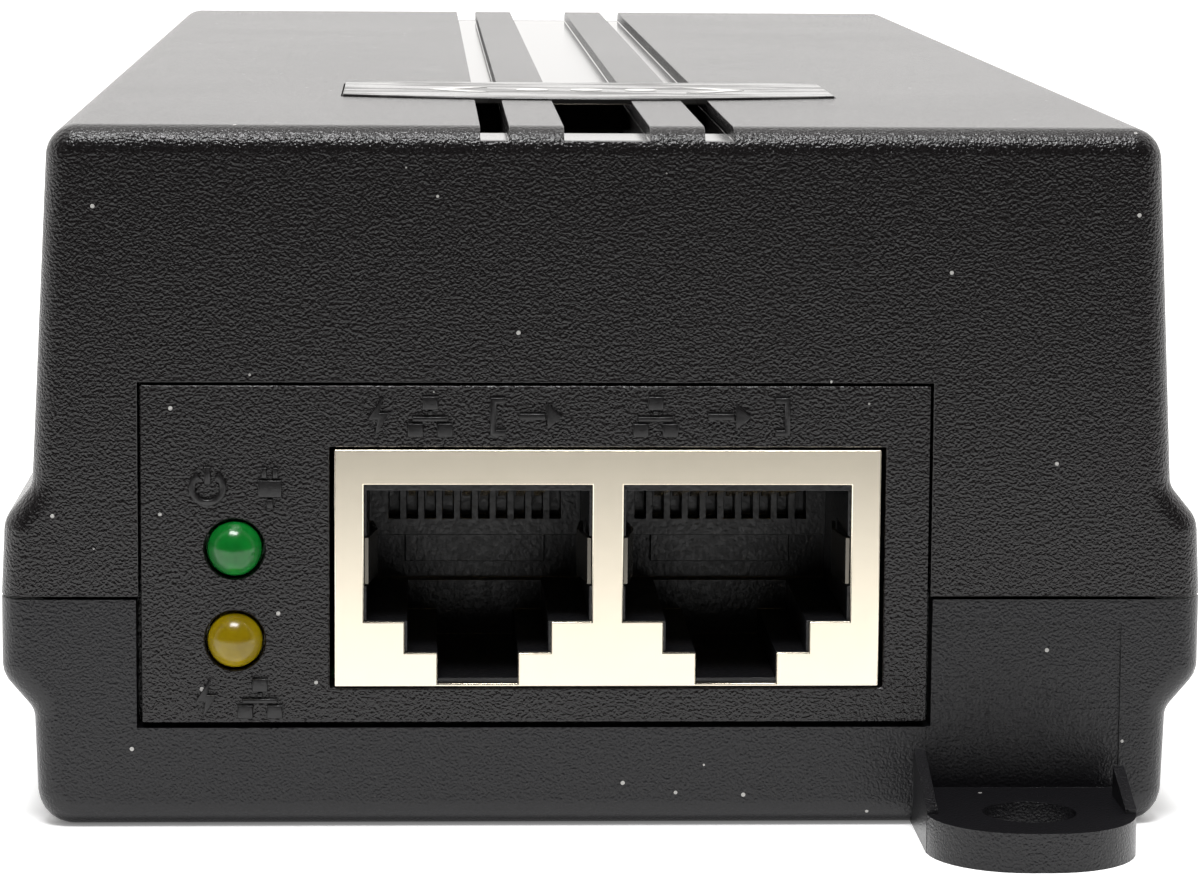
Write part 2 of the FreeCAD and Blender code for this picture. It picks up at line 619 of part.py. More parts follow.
def make_top_cover():
    body = new_body("cover_shell")
    mouth = "part_line + part_gap / 2"
    mouth_height = size("part_line") + size("part_gap") / 2
    section = new_sketch(body, "cover_section", "XZ")
    add_polygon(section, both_sides([
        ("body_width / 2", mouth), ("shoulder_width / 2", "rail_shoulder"),
        ("waist_width / 2", "rail_root"), ("top_width / 2", "body_height")]))
    pad(body, section, "body_length", midplane=True)
    soften(body, "cover_rail_root", "root_round",
           lambda e: long_edge(e, size("waist_width") / 2, size("rail_root")))
    soften(body, "cover_rail_round", "swell_round",
           lambda e: long_edge(e, size("shoulder_width") / 2, size("rail_shoulder")))
    soften(body, "cover_top_round", "top_round",
           lambda e: long_edge(e, size("top_width") / 2, size("body_height")))
    soften(body, "cover_end_round", "end_round", lambda e: end_rim(e, mouth_height))

    hollow = new_sketch(body, "cover_hollow", "XZ")
    add_polygon(hollow, both_sides([
        ("body_width / 2 - wall", "part_line - wall"), ("shoulder_width / 2 - wall", "rail_shoulder"),
        ("waist_width / 2 - wall", "rail_root"), ("top_width / 2 - wall", ROOF_IN)]))
    pocket(body, hollow, "body_length - 2 * wall", midplane=True)
    front = new_sketch(body, "cover_front_opening", "XZ")
    add_rectangle(front, ("panel_left - panel_gap", "panel_right + panel_gap"),
                  ("part_line - wall", "panel_top + panel_gap"))
    pocket(body, front, reverse=True)
    rear = new_sketch(body, "cover_rear_opening", "XZ")
    add_rectangle(rear, ("-rear_panel_half - panel_gap", "rear_panel_half + panel_gap"),
                  ("part_line - wall", "rear_panel_top + panel_gap"))
    pocket(body, rear)

    # three grooves along the roof, open at both ends, each with a vent slot behind the front
    grooves = new_sketch(body, "cover_grooves", "XZ")
    vents = new_sketch(body, "cover_vents", "XY", offset="body_height - roof_wall - wall")
    for middle, width in GROOVES:
        across = (f"{middle} - {width} / 2", f"{middle} + {width} / 2")
        add_rectangle(grooves, across, ("body_height - groove_depth", "body_height + wall"))
        add_rectangle(vents, across, (f"{FRONT} + vent_start", f"{FRONT} + vent_start + vent_length"))
    pocket(body, grooves, midplane=True)
    pocket(body, vents, reverse=True)

    posts = new_sketch(body, "cover_posts", "XY", offset=mouth)
    pilots = new_sketch(body, "cover_pilots", "XY", offset=mouth)
    for sx, sy in SIGNS:
        add_circle(posts, signed(sx, "boss_x"), signed(sy, "boss_y"), "boss_radius")
        add_circle(pilots, signed(sx, "boss_x"), signed(sy, "boss_y"), "screw_radius + thread_gap")
    pad(body, posts, f"{ROOF_IN} + roof_wall / 4 - ({mouth})")
    pocket(body, pilots, "screw_length", reverse=True)
    seat = bowed_plate("label_seat", "label_seat_gap", ("body_height - label_recess", "body_height + wall"))
    keep(cut("top_cover", body, [seat]), "top_cover")


# ---------------------------------------------------------------- panels, labels and case screws
def make_front_panel():
    face = (FRONT, f"{FRONT} + wall")
    behind = (f"{FRONT} + wall", f"{FRONT} + wall + flange_thick")
    plate = box("front_plate", ("panel_left", "panel_right"), face, ("panel_low", "panel_top"))
    flange = box("front_flange", ("panel_left - flange_reach", "panel_right + flange_reach"), behind,
                 ("panel_low - flange_reach", "panel_top + flange_reach"))
    through = (f"{FRONT} - wall", f"{FRONT} + wall + 2 * flange_thick")
    window = box("front_window",
                 ("jack_x - jack_width / 2 - window_gap", "jack_x + jack_width / 2 + window_gap"), through,
                 ("board_top - window_gap_low", "jack_top + window_gap_low"))
    tools = [window]
    for level in ("lamp_high", "lamp_low"):
        tools.append(cylinder(f"hole_{level}", "lamp_radius + lamp_gap", "3 * wall",
                              ("lamp_x", f"{FRONT} - wall", level), axis="y"))
        tools.append(cylinder(f"rim_room_{level}", "lamp_rim_radius + lamp_gap", "3 * wall",
                              ("lamp_x", f"{FRONT} + wall", level), axis="y"))
    keep(cut("front_panel", fuse("front_panel_blank", [plate, flange]), tools), "front_panel")


def inlet_middle():
    return "(board_top + inlet_height / 2)"


def make_rear_panel():
    face = (f"{REAR} - wall", REAR)
    behind = (f"{REAR} - wall - flange_thick", f"{REAR} - wall")
    plate = box("rear_plate", around("0", "2 * rear_panel_half"), face, ("panel_low", "rear_panel_top"))
    flange = box("rear_flange", around("0", "2 * rear_panel_half + 2 * flange_reach"), behind,
                 ("panel_low - flange_reach", "rear_panel_top + flange_reach"))
    window = box("rear_window", ("-inlet_width / 2 - inlet_gap", "inlet_width / 2 + inlet_gap"),
                 (f"{REAR} - 3 * wall", f"{REAR} + wall"),
                 ("board_top - inlet_gap", "board_top + inlet_height + inlet_gap"))
    keep(cut("rear_panel", fuse("rear_panel_blank", [plate, flange]), [window]), "rear_panel")


def make_labels():
    """Bowed plate let into the roof, and a plain label under the base."""
    low = "body_height - label_recess"
    keep(bowed_plate("top_label", "0", (low, f"{low} + label_thick")), "top_label")
    keep(box("rating_label", around("0", "rating_width"), around("0", "rating_length"),
             ("rating_recess - rating_thick", "rating_recess")), "rating_label")


def make_case_screws():
    screws = []
    for n, (sx, sy) in enumerate(SIGNS):
        x, y = signed(sx, "boss_x"), signed(sy, "boss_y")
        crown = "(screw_seat - screw_head)"
        head = cylinder(f"case_screw_head_{n}", "screw_head_radius", "screw_head", (x, y, crown))
        shank = cylinder(f"case_screw_shank_{n}", "screw_radius", "screw_length", (x, y, "screw_seat"))
        long_slot, short_slot = "2 * screw_radius", "screw_radius / 2"
        deep = (crown, "screw_seat - screw_head / 2")
        cross = [box(f"case_screw_slot_{n}a", around(x, long_slot), around(y, short_slot), deep),
                 box(f"case_screw_slot_{n}b", around(x, short_slot), around(y, long_slot), deep)]
        screws.append(cut(f"case_screw_{n}", fuse(f"case_screw_blank_{n}", [head, shank]), cross))
    keep(fuse("case_screws", screws), "case_screws")


# ---------------------------------------------------------------- jack
JACK_LEFT = "(jack_x - jack_width / 2)"
JACK_RIGHT = "(jack_x + jack_width / 2)"
JACK_FACE = "(-body_length / 2 - jack_proud)"
JACK_BACK = "(-body_length / 2 - jack_proud + jack_depth)"
PORTS = (("left", -1), ("right", 1))
SIDES = (("outer", 1), ("inner", -1))


def port_middle(sign):
    return f"(jack_x + {sign} * port_pitch / 2)"


def port_cut(name, sign, widths, levels, y):
    """Stepped opening of one port: plug, then the two steps of its latch way."""
    middle = port_middle(sign)
    steps = []
    for n, (width, (low, high)) in enumerate(zip(widths, levels)):
        steps.append(box(f"{name}_{n}", around(middle, width), y, (low, high)))
    return steps


def make_jack_shield():
    skin = box("shield_skin", (JACK_LEFT, JACK_RIGHT), (JACK_FACE, JACK_BACK), ("board_top", "jack_top"))
    room = box("shield_room", (f"{JACK_LEFT} + shield_wall", f"{JACK_RIGHT} - shield_wall"),
               (f"{JACK_FACE} + shield_wall", f"{JACK_BACK} - shield_wall"),
               ("board_top - wall", "jack_top - shield_wall"))
    tools = [room]
    through = (f"{JACK_FACE} - wall", f"{JACK_FACE} + 2 * shield_wall")
    for name, sign in PORTS:
        levels = (("port_low", "port_top"), ("step_low", "port_low"), ("latch_window_low", "step_low"))
        tools += port_cut(f"shield_{name}", sign, ("port_width", "step_width", "latch_width"), levels,
                          through)
    keep(cut("jack_shield", skin, tools), "jack_shield")


def finger_side(port_sign, side):
    """Direction from a port's middle to the finger on that side of it."""
    return port_sign * side


def make_jack_housing():
    inset = "(shield_wall + shield_gap)"
    core = box("housing_core", (f"{JACK_LEFT} + {inset}", f"{JACK_RIGHT} - {inset}"),
               (f"{JACK_FACE} + {inset}", f"{JACK_BACK} - {inset}"), ("board_top", f"jack_top - {inset}"))
    mouth = f"{JACK_FACE} - wall"
    comb_face = f"({JACK_FACE} + port_depth)"
    width = "(port_width - 2 * port_inset)"
    tools = []
    for name, sign in PORTS:
        levels = (("port_low", "port_top - port_lip"), ("step_low", "port_low"), ("latch_low", "step_low"))
        tools += port_cut(f"housing_{name}", sign, (width, "(step_width - 2 * port_inset)", "latch_width"),
                          levels, (mouth, comb_face))
        middle = port_middle(sign)
        full = around(middle, width)
        behind_lip = (f"{JACK_FACE} + shield_wall + lip_depth", comb_face)
        tools.append(box(f"housing_{name}_ceiling", full, behind_lip, ("port_low", "port_ceiling")))
        tools.append(box(f"housing_{name}_under_comb", full, (mouth, f"{comb_face} + comb_depth / 2"),
                         ("port_low", "comb_foot")))
        channel = around(middle, "channel_width")
        tail_back = f"{JACK_BACK} - {inset} - 2 * shield_wall"
        tools.append(box(f"housing_{name}_channel", channel, (comb_face, tail_back),
                         ("port_ceiling - 2 * contact_thick", "port_ceiling")))
        tools.append(box(f"housing_{name}_drop", channel, (f"{tail_back} - 2 * contact_thick", tail_back),
                         ("board_top - wall", "port_ceiling")))
        for n in range(int(size("comb_count"))):
            place = f"({middle} + ({n} - (comb_count - 1) / 2) * contact_pitch)"
            tools.append(box(f"housing_{name}_slot_{n}", around(place, "comb_slot"),
                             (mouth, f"{comb_face} + comb_depth"), ("comb_low", "port_top - port_lip")))
        for side_name, side in SIDES:
            out = finger_side(sign, side)
            near_wall = f"{middle} + {out} * ({width} / 2 - shield_wall)"
            far_wall = f"{middle} + {out} * ({width} / 2 + finger_pocket)"
            across = (near_wall, far_wall) if out > 0 else (far_wall, near_wall)
            tools.append(box(f"housing_{name}_{side_name}_pocket", across,
                             (mouth, f"{JACK_FACE} + shield_wall + finger_run + 4 * finger_gap"),
                             ("finger_middle - finger_height / 2 - finger_gap",
                              "finger_middle + finger_height / 2 + finger_gap")))
    stops = []
    for name, sign in PORTS:
        middle = port_middle(sign)
        stops.append(box(f"housing_{name}_stop", around(middle, "step_width"),
                         (f"{comb_face} + comb_depth / 4", f"{comb_face} + comb_depth"),
                         ("port_low + wall / 2", "comb_foot")))
    hollowed = cut("housing_hollowed", core, tools)
    keep(fuse("jack_housing", [hollowed] + stops), "jack_housing")


PIVOT_Y = "(-body_length / 2 - jack_proud + pivot_inset)"


def contact_places(sign):
    for n in range(int(size("contact_count"))):
        yield n, f"({port_middle(sign)} + ({n} - (contact_count - 1) / 2) * contact_pitch)"


def make_contact_arms(name, sign):
    """Eight sprung wires hanging from their bends down into the comb."""
    wires = []
    for n, place in contact_places(sign):
        arm = doc.addObject("Part::Box", f"{name}_arm_{n}")
        tilt = Rotation(Vector(1, 0, 0), -size("contact_slope"))
        arm.Placement = Placement(Vector(), tilt)
        rise = "contact_thick / 2 * cos(contact_slope * 1 deg)"
        run = "contact_thick / 2 * sin(contact_slope * 1 deg)"
        bind(arm, x=f"{place} - contact_wide / 2", y=f"{PIVOT_Y} - {run}", z=f"pivot_height - {rise}",
             Length="contact_wide", Width="contact_length", Height="contact_thick")
        bend = cylinder(f"{name}_bend_{n}", "contact_thick / 2", "contact_wide",
                        (f"{place} - contact_wide / 2", PIVOT_Y, "pivot_height"), axis="x")
        wires += [arm, bend]
    keep(fuse(f"{name}_contact_arms", wires), f"{name}_contact_arms")


def make_contact_wires(name, sign):
    """Fixed part of the contacts: down to the bend in front, back along the roof, down to the board."""
    ceiling = ("port_ceiling - contact_thick", "port_ceiling")
    tail_back = "(-body_length / 2 - jack_proud + jack_depth - 3 * shield_wall - shield_gap)"
    wires = []
    for n, place in contact_places(sign):
        across = (f"{place} - contact_wide / 2", f"{place} + contact_wide / 2")
        wires.append(box(f"{name}_nose_{n}", across,
                         (f"{PIVOT_Y} - contact_thick / 2", f"{PIVOT_Y} + contact_thick / 2"),
                         ("pivot_height + contact_thick / 2 + pivot_gap", "port_ceiling")))
        wires.append(box(f"{name}_run_{n}", across, (f"{PIVOT_Y} - contact_thick / 2", tail_back), ceiling))
        wires.append(box(f"{name}_tail_{n}", across, (f"{tail_back} - contact_thick", tail_back),
                         ("board_top", "port_ceiling")))
    keep(fuse(f"{name}_contact_wires", wires), f"{name}_contact_wires")


def make_fingers():
    """Sprung grounding fingers at both sides of each port, bent in from the shield's face."""
    for name, sign in PORTS:
        for side_name, side in SIDES:
            out = finger_side(sign, side)
            label = f"{name}_{side_name}_finger"
            body = new_body(label)
            strip = new_sketch(body, f"{label}_strip", "XY", offset="finger_middle - finger_height / 2")
            edge = f"({port_middle(sign)} + {out} * port_width / 2)"
            start = f"({JACK_FACE} + shield_wall + finger_gap)"
            path = (("finger_root", start), ("finger_bulge", f"{start} + finger_crown_run"),
                    ("finger_tip", f"{start} + finger_run"))
            outside = [(f"{edge} - {out} * ({inward} - finger_thick / 2)", along) for inward, along in path]
            inside = [(f"{edge} - {out} * ({inward} + finger_thick / 2)", along) for inward, along in path]
            add_polygon(strip, outside + inside[::-1])
            pad(body, strip, "finger_height")
            keep(body, label)


# ---------------------------------------------------------------- lamps
def make_lamps():
    """Domed indicator lamps with a rim behind the panel, and their bent leads."""
    leads = []
    for colour, level, run in (("green", "lamp_high", "lead_run_high"),
                               ("amber", "lamp_low", "lead_run_low")):
        tip = f"({FRONT} - lamp_proud + lamp_radius)"
        rim = f"({FRONT} + wall + lamp_gap)"
        barrel = cylinder(f"{colour}_barrel", "lamp_radius", f"{rim} - {tip}", ("lamp_x", tip, level),
                          axis="y")
        dome = sphere(f"{colour}_dome", "lamp_radius", ("lamp_x", tip, level))
        flange = cylinder(f"{colour}_rim", "lamp_rim_radius", "lamp_rim", ("lamp_x", rim, level), axis="y")
        keep(fuse(f"{colour}_lamp", [barrel, dome, flange]), f"{colour}_lamp")
        start = f"({rim} + lamp_rim)"
        for n, side in enumerate((-1, 1)):
            place = f"(lamp_x + {side} * lead_pitch / 2)"
            across = (f"{place} - lead_wide / 2", f"{place} + lead_wide / 2")
            leads.append(box(f"{colour}_lead_{n}", across, (start, f"{start} + {run}"),
                             (f"{level} - lead_wide / 2", f"{level} + lead_wide / 2")))
            leads.append(box(f"{colour}_leg_{n}", across,
                             (f"{start} + {run} - lead_wide", f"{start} + {run}"), ("board_top", level)))
    keep(fuse("lamp_leads", leads), "lamp_leads")


# ---------------------------------------------------------------- mains inlet
def make_inlet():
    middle = inlet_middle()
    low, high = f"({middle} - socket_height / 2)", f"({middle} + socket_height / 2)"
    blank = box("inlet_blank", ("-inlet_width / 2", "inlet_width / 2"), (f"{REAR} - inlet_depth", REAR),
                ("board_top", "board_top + inlet_height"))
    body = new_body("inlet_socket")
    mouth = new_sketch(body, "inlet_mouth", "XZ", offset="-body_length / 2")
    add_polygon(mouth, both_sides([
        ("socket_width / 2", low), ("socket_width / 2", f"{high} - socket_corner"),
        ("socket_width / 2 - socket_corner", high)]))
    pad(body, mouth, "socket_depth")
    tools = [body]
    blades = []
    for pole, place, raise_by in (("live", "-pin_pitch / 2", "-pin_raise"),
                                  ("neutral", "pin_pitch / 2", "-pin_raise"), ("earth", "0", "pin_raise")):
        across = around(place, "pin_wide")
        up = (f"{middle} + ({raise_by}) - pin_tall / 2", f"{middle} + ({raise_by}) + pin_tall / 2")
        back = f"({REAR} - inlet_depth - pin_tail)"
        blade = box(f"{pole}_blade", across, (back, f"{REAR} - pin_recess"), up)
        leg = box(f"{pole}_leg", across, (back, f"{back} + pin_wide"), ("board_top", up[1]))
        tools.append(box(f"{pole}_slot", across, (f"{REAR} - inlet_depth - wall", REAR), up))
        blades += [blade, leg]
    keep(cut("inlet_housing", blank, tools), "inlet_housing")
    keep(fuse("inlet_blades", blades), "inlet_blades")


# ---------------------------------------------------------------- board and what stands on it
def make_board():
    y = (f"{FRONT} + board_front", f"{REAR} - board_rear")
    blank = box("board_blank", ("-board_width / 2", "board_width / 2"), y, ("board_low", "board_top"))
    tools = []
    for n, (sx, sy) in enumerate(SIGNS):
        reach = "(boss_radius + board_gap)"
        tools.append(box(f"board_notch_{n}", ordered(f"boss_x - {reach}", f"boss_x + 2 * {reach}", sx),
                         ordered(f"boss_y - {reach}", f"boss_y + {reach}", sy),
                         ("board_low - wall", "board_low + 2 * wall")))
        tools.append(cylinder(f"board_hole_{n}", "board_screw_radius + screw_clear", "3 * wall",
                              (signed(sx, "standoff_x"), signed(sy, "standoff_y"), "board_low - wall")))
    keep(cut("main_board", blank, tools), "main_board")
    screws = []
    for n, (sx, sy) in enumerate(SIGNS):
        x, y = signed(sx, "standoff_x"), signed(sy, "standoff_y")
        screws.append(cylinder(f"board_screw_head_{n}", "board_screw_head_radius", "board_screw_head",
                               (x, y, "board_top")))
        screws.append(cylinder(f"board_screw_shank_{n}", "board_screw_radius", "board_screw_length",
                               (x, y, "board_top - board_screw_length")))
    keep(fuse("board_screws", screws), "board_screws")
    keep(box("insulating_sheet", around("0", "sheet_width"), around("0", "sheet_length"),
             ("floor_wall", "floor_wall + sheet_thick")), "insulating_sheet")


# Components on the board: name, kind, middle across, middle along, size across, size along, height.
# A "can" is an upright cylinder, a "disc" a coin standing on edge on two legs, a "bar" a cylinder
# lying across the board between two clips; for these two the height is that of their underside.
COMPONENTS = (
    ("fuse_link", "bar", "-15", f"{REAR} - inlet_depth - 7.5", "20", "5.2", "0.6"),
    ("thermistor", "disc", "2.3", f"{REAR} - inlet_depth - 7.5", "12", "4.5", "1"),
    ("filter_capacitor", "block", "18", f"{REAR} - inlet_depth - 9", "17.5", "8.5", "15"),
    ("varistor", "disc", "3.5", f"{REAR} - inlet_depth - 15", "10", "4", "1"),
    ("bridge_rectifier", "block", "17", f"{REAR} - inlet_depth - 20", "18", "4.6", "15"),
    ("bulk_capacitor", "can", "14", "13", "18", "18", "room - tall_gap"),
    ("aux_capacitor", "can", "23.5", "-2.5", "6.3", "6.3", "11"),
    ("safety_capacitor", "disc", "-19", "-4", "9", "4", "1"),
    ("optocoupler", "block", "-20", "-13", "6.5", "4.6", "3.5"),
    ("output_choke", "can", "-20", "-34", "9", "9", "11"),
    ("control_chip", "block", "3", "-29.5", "5", "6", "1.6"),
    ("line_transformer", "block", "1", f"{JACK_BACK} + 7.65", "16", "13", "6.2"),
    ("port_control_chip", "block", "-16", f"{JACK_BACK} + 8.15", "7", "7", "1.2"),
)


def make_components():
    for name, kind, x, y, across, along, height in COMPONENTS:
        if kind == "block":
            thing = box(name, around(x, across), around(y, along), ("board_top", f"board_top + {height}"))
        elif kind == "can":
            thing = cylinder(name, f"{across} / 2", height, (x, y, "board_top"))
        elif kind == "disc":
            coin = cylinder(f"{name}_coin", f"{across} / 2", along,
                            (x, around(y, along)[0], f"board_top + {height} + {across} / 2"), axis="y")
            legs = [box(f"{name}_leg_{n}", around(f"{x} + {side} * {across} / 4", "leg_wide"),
                        around(y, "leg_wide"), ("board_top", f"board_top + {height} + {across} / 4"))
                    for n, side in enumerate((-1, 1))]
            thing = fuse(f"{name}_whole", [coin] + legs)
        else:
            thing = cylinder(name, f"{along} / 2", across,
                             (around(x, across)[0], y, f"board_top + {height} + {along} / 2"), axis="x")
            clips = [box(f"{name}_clip_{n}",
                         around(f"{x} + {side} * ({across} + clip_wall) / 2", "clip_wall"),
                         around(y, along), ("board_top", f"board_top + {height} + {along}"))
                     for n, side in enumerate((-1, 1))]
            keep(fuse("fuse_clips", clips), "fuse_clips")
        keep(thing, name)
    cans = [cylinder(f"output_can_{n}", "output_can_radius", "room - can_gap",
                     (place, "output_can_y", "board_top"))
            for n, place in enumerate(("output_can_left", "output_can_right"))]
    keep(fuse("output_capacitors", cans), "output_capacitors")


def make_line_choke():
    """Ferrite frame with a coil on each of its two upright legs."""
    x, y, whole, deep = "choke_x", "choke_y", "2 * choke_half", "2 * choke_leg"
    frame = box("choke_block", around(x, whole), around(y, deep), ("board_top", "board_top + choke_height"))
    inside = ("board_top + choke_leg", "board_top + choke_height - choke_leg")
    eye = box("choke_eye", around(x, "2 * choke_half - 2 * choke_leg"), around(y, f"2 * {deep}"), inside)
    keep(cut("line_choke_core", frame, [eye]), "line_choke_core")
    coils = []
    up = (f"{inside[0]} + coil_gap", f"{inside[1]} - coil_gap")
    for n, side in enumerate((-1, 1)):
        place = f"{x} + {side} * (choke_half - choke_leg / 2)"
        turns = box(f"choke_turns_{n}", around(place, "choke_leg + 2 * coil_thick"),
                    around(y, f"{deep} + 2 * coil_thick"), up)
        leg = box(f"choke_leg_room_{n}", around(place, "choke_leg"), around(y, deep), up)
        coils.append(cut(f"choke_coil_{n}", turns, [leg]))
    keep(fuse("line_choke_windings", coils), "line_choke_windings")


def make_transformer():
    """Three-legged ferrite core on a bobbin with two feet, wound around the middle leg."""
    x, y, deep = "core_x", "core_y", "2 * core_deep"
    low, top = "(board_top + core_lift)", "(board_top + room - sink_gap)"
    inside = (f"{low} + core_yoke", f"{top} - core_yoke")
    frame = box("core_block", around(x, "2 * core_half"), around(y, deep), (low, top))
    eyes = [box(f"core_eye_{n}", around(f"{x} + {side} * core_half / 2", "core_half - 2 * core_middle"),
                around(y, f"2 * {deep}"), inside) for n, side in enumerate((-1, 1))]
    keep(cut("transformer_core", frame, eyes), "transformer_core")

    tube_x, tube_y = around(x, "2 * core_middle + 2 * former_wall"), around(y, f"{deep} + 2 * former_wall")
    flange = "(2 * core_half - 2 * core_middle - 2 * former_gap)"
    flange_deep = f"({deep} + 2 * former_reach)"
    pieces = [box("former_tube", tube_x, tube_y, inside)]
    for name, up in (("low", (inside[0], f"{inside[0]} + former_plate")),
                     ("high", (f"{inside[1]} - former_plate", inside[1]))):
        pieces.append(box(f"former_{name}", around(x, flange), around(y, flange_deep), up))
    for n, side in enumerate((-1, 1)):
        foot = around(f"{y} + {side} * ({flange_deep} - former_foot) / 2", "former_foot")
        pieces.append(box(f"former_foot_{n}", around(x, flange), foot,
                          ("board_top", f"{inside[0]} + former_plate")))
    middle = box("former_room", around(x, "2 * core_middle"), around(y, deep), ("board_top", top))
    keep(cut("transformer_bobbin", fuse("former_blank", pieces), [middle]), "transformer_bobbin")

    between = (f"{inside[0]} + former_plate", f"{inside[1]} - former_plate")
    wound = box("winding_block", around(x, f"{flange} - 2 * winding_inset"),
                around(y, f"{flange_deep} - 2 * winding_inset"), between)
    tube = box("winding_room", tube_x, tube_y, between)
    keep(cut("transformer_winding", wound, [tube]), "transformer_winding")


def make_heatsinks():
    """Upright aluminium plates at the board's sides, each with a power device against its inner face."""
    outside, inside = "board_width / 2 - sink_inset", "board_width / 2 - sink_inset - sink_thick"
    for name, device, thick, side in (("primary", "switching_transistor", "transistor_thick", 1),
                                      ("secondary", "output_diode", "diode_thick", -1)):
        y = f"{name}_sink_y"
        keep(box(f"{name}_heatsink", ordered(inside, outside, side), around(y, f"{name}_sink_length"),
                 ("board_top", "board_top + room - sink_gap")), f"{name}_heatsink")
        keep(box(device, ordered(f"{inside} - {thick}", inside, side), around(y, "device_length"),
                 ("board_top + device_lift", "board_top + device_lift + device_height")), device)


def make_resistors():
    """Two rows of small chips in front of the transformer."""
    chips = []
    for row in range(int(size("chip_rows"))):
        for column in range(int(size("chip_columns"))):
            x = f"({column} - (chip_columns - 1) / 2) * chip_spacing"
            chips.append(box(f"resistor_{row}_{column}", around(x, "chip_long"),
                             around(f"chip_y + {row} * chip_row_pitch", "chip_wide"),
                             ("board_top", "board_top + chip_high")))
    keep(fuse("board_resistors", chips), "board_resistors")


make_bottom_base()
make_top_cover()
make_front_panel()
make_rear_panel()
make_labels()
make_case_screws()
make_jack_shield()
make_jack_housing()
for port_name, port_sign in PORTS:
    make_contact_arms(port_name, port_sign)
    make_contact_wires(port_name, port_sign)
make_fingers()
make_lamps()
make_inlet()
make_board()
make_components()
make_line_choke()
make_transformer()
make_heatsinks()
make_resistors()
doc.recompute()

# ---------------------------------------------------------------- checks and export
for thing in doc.Objects:
    if "Invalid" in thing.State or "Error" in thing.State:
        raise RuntimeError(f"{thing.Label}: {thing.State}")
for name, thing in nodes.items():
    if thing.Shape.isNull() or not thing.Shape.isValid() or not thing.Shape.Solids:
        raise RuntimeError(f"{name}: not a valid solid")
os.makedirs("parts", exist_ok=True)
for name, thing in nodes.items():
    thing.Shape.exportStep(f"parts/{name}.step")
print(f"{len(nodes)} sub-parts written")
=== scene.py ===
import bmesh
import bpy
import math
from mathutils import Matrix, Vector


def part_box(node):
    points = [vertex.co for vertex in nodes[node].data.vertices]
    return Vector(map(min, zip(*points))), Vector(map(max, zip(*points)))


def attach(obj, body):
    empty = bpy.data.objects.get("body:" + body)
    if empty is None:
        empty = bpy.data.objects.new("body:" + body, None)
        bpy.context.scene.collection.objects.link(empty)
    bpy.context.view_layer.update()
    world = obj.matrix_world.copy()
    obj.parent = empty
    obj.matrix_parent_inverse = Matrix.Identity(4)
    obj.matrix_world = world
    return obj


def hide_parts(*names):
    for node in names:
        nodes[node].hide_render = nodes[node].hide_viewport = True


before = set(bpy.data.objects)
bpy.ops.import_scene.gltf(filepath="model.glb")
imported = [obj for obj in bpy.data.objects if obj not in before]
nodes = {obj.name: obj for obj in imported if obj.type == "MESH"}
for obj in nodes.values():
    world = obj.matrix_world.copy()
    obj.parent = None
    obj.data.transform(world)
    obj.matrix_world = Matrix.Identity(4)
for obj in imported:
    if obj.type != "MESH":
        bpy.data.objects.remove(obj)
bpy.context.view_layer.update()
mm = 0.001
mergeGap = 0.0005 * mm
print("frame loaded:", len(nodes), "nodes")

rootBody = "case"
scene = bpy.context.scene
collection = scene.collection
scene.view_settings.view_transform = "Standard"
scene.view_settings.look = "None"


def addNode(tree, kind, place, **settings):
    node = tree.nodes.new(kind)
    node.location = place
    for key, value in settings.items():
        setattr(node, key, value)
    return node


def startGroup(name, inputs, outputs):
    tree = bpy.data.node_groups.new(name, "ShaderNodeTree")
    for label, kind, value in inputs:
        socket = tree.interface.new_socket(label, in_out="INPUT", socket_type=kind)
        if value is not None:
            socket.default_value = value
    for label, kind in outputs:
        tree.interface.new_socket(label, in_out="OUTPUT", socket_type=kind)
    entry = addNode(tree, "NodeGroupInput", (-900, 0))
    leave = addNode(tree, "NodeGroupOutput", (700, 0))
    return tree, entry, leave


def mathNode(tree, operation, place, first, second=None, clamp=False):
    node = addNode(tree, "ShaderNodeMath", place, operation=operation, use_clamp=clamp)
    for slot, value in zip(node.inputs, (first, second)):
        if value is None:
            continue
        if isinstance(value, (int, float)):
            slot.default_value = value
        else:
            tree.links.new(value, slot)
    return node.outputs[0]


def rangeNode(tree, place, value, low, high, toLow=0.0, toHigh=1.0):
    node = addNode(tree, "ShaderNodeMapRange", place, interpolation_type="SMOOTHSTEP")
    tree.links.new(value, node.inputs["Value"])
    for label, number in (("From Min", low), ("From Max", high), ("To Min", toLow), ("To Max", toHigh)):
        node.inputs[label].default_value = number
    return node.outputs["Result"]


def textureNode(tree, kind, place, vector, scale, **settings):
    node = addNode(tree, kind, place, **settings)
    tree.links.new(vector, node.inputs["Vector"])
    if isinstance(scale, (int, float)):
        node.inputs["Scale"].default_value = scale
    else:
        tree.links.new(scale, node.inputs["Scale"])
    return node


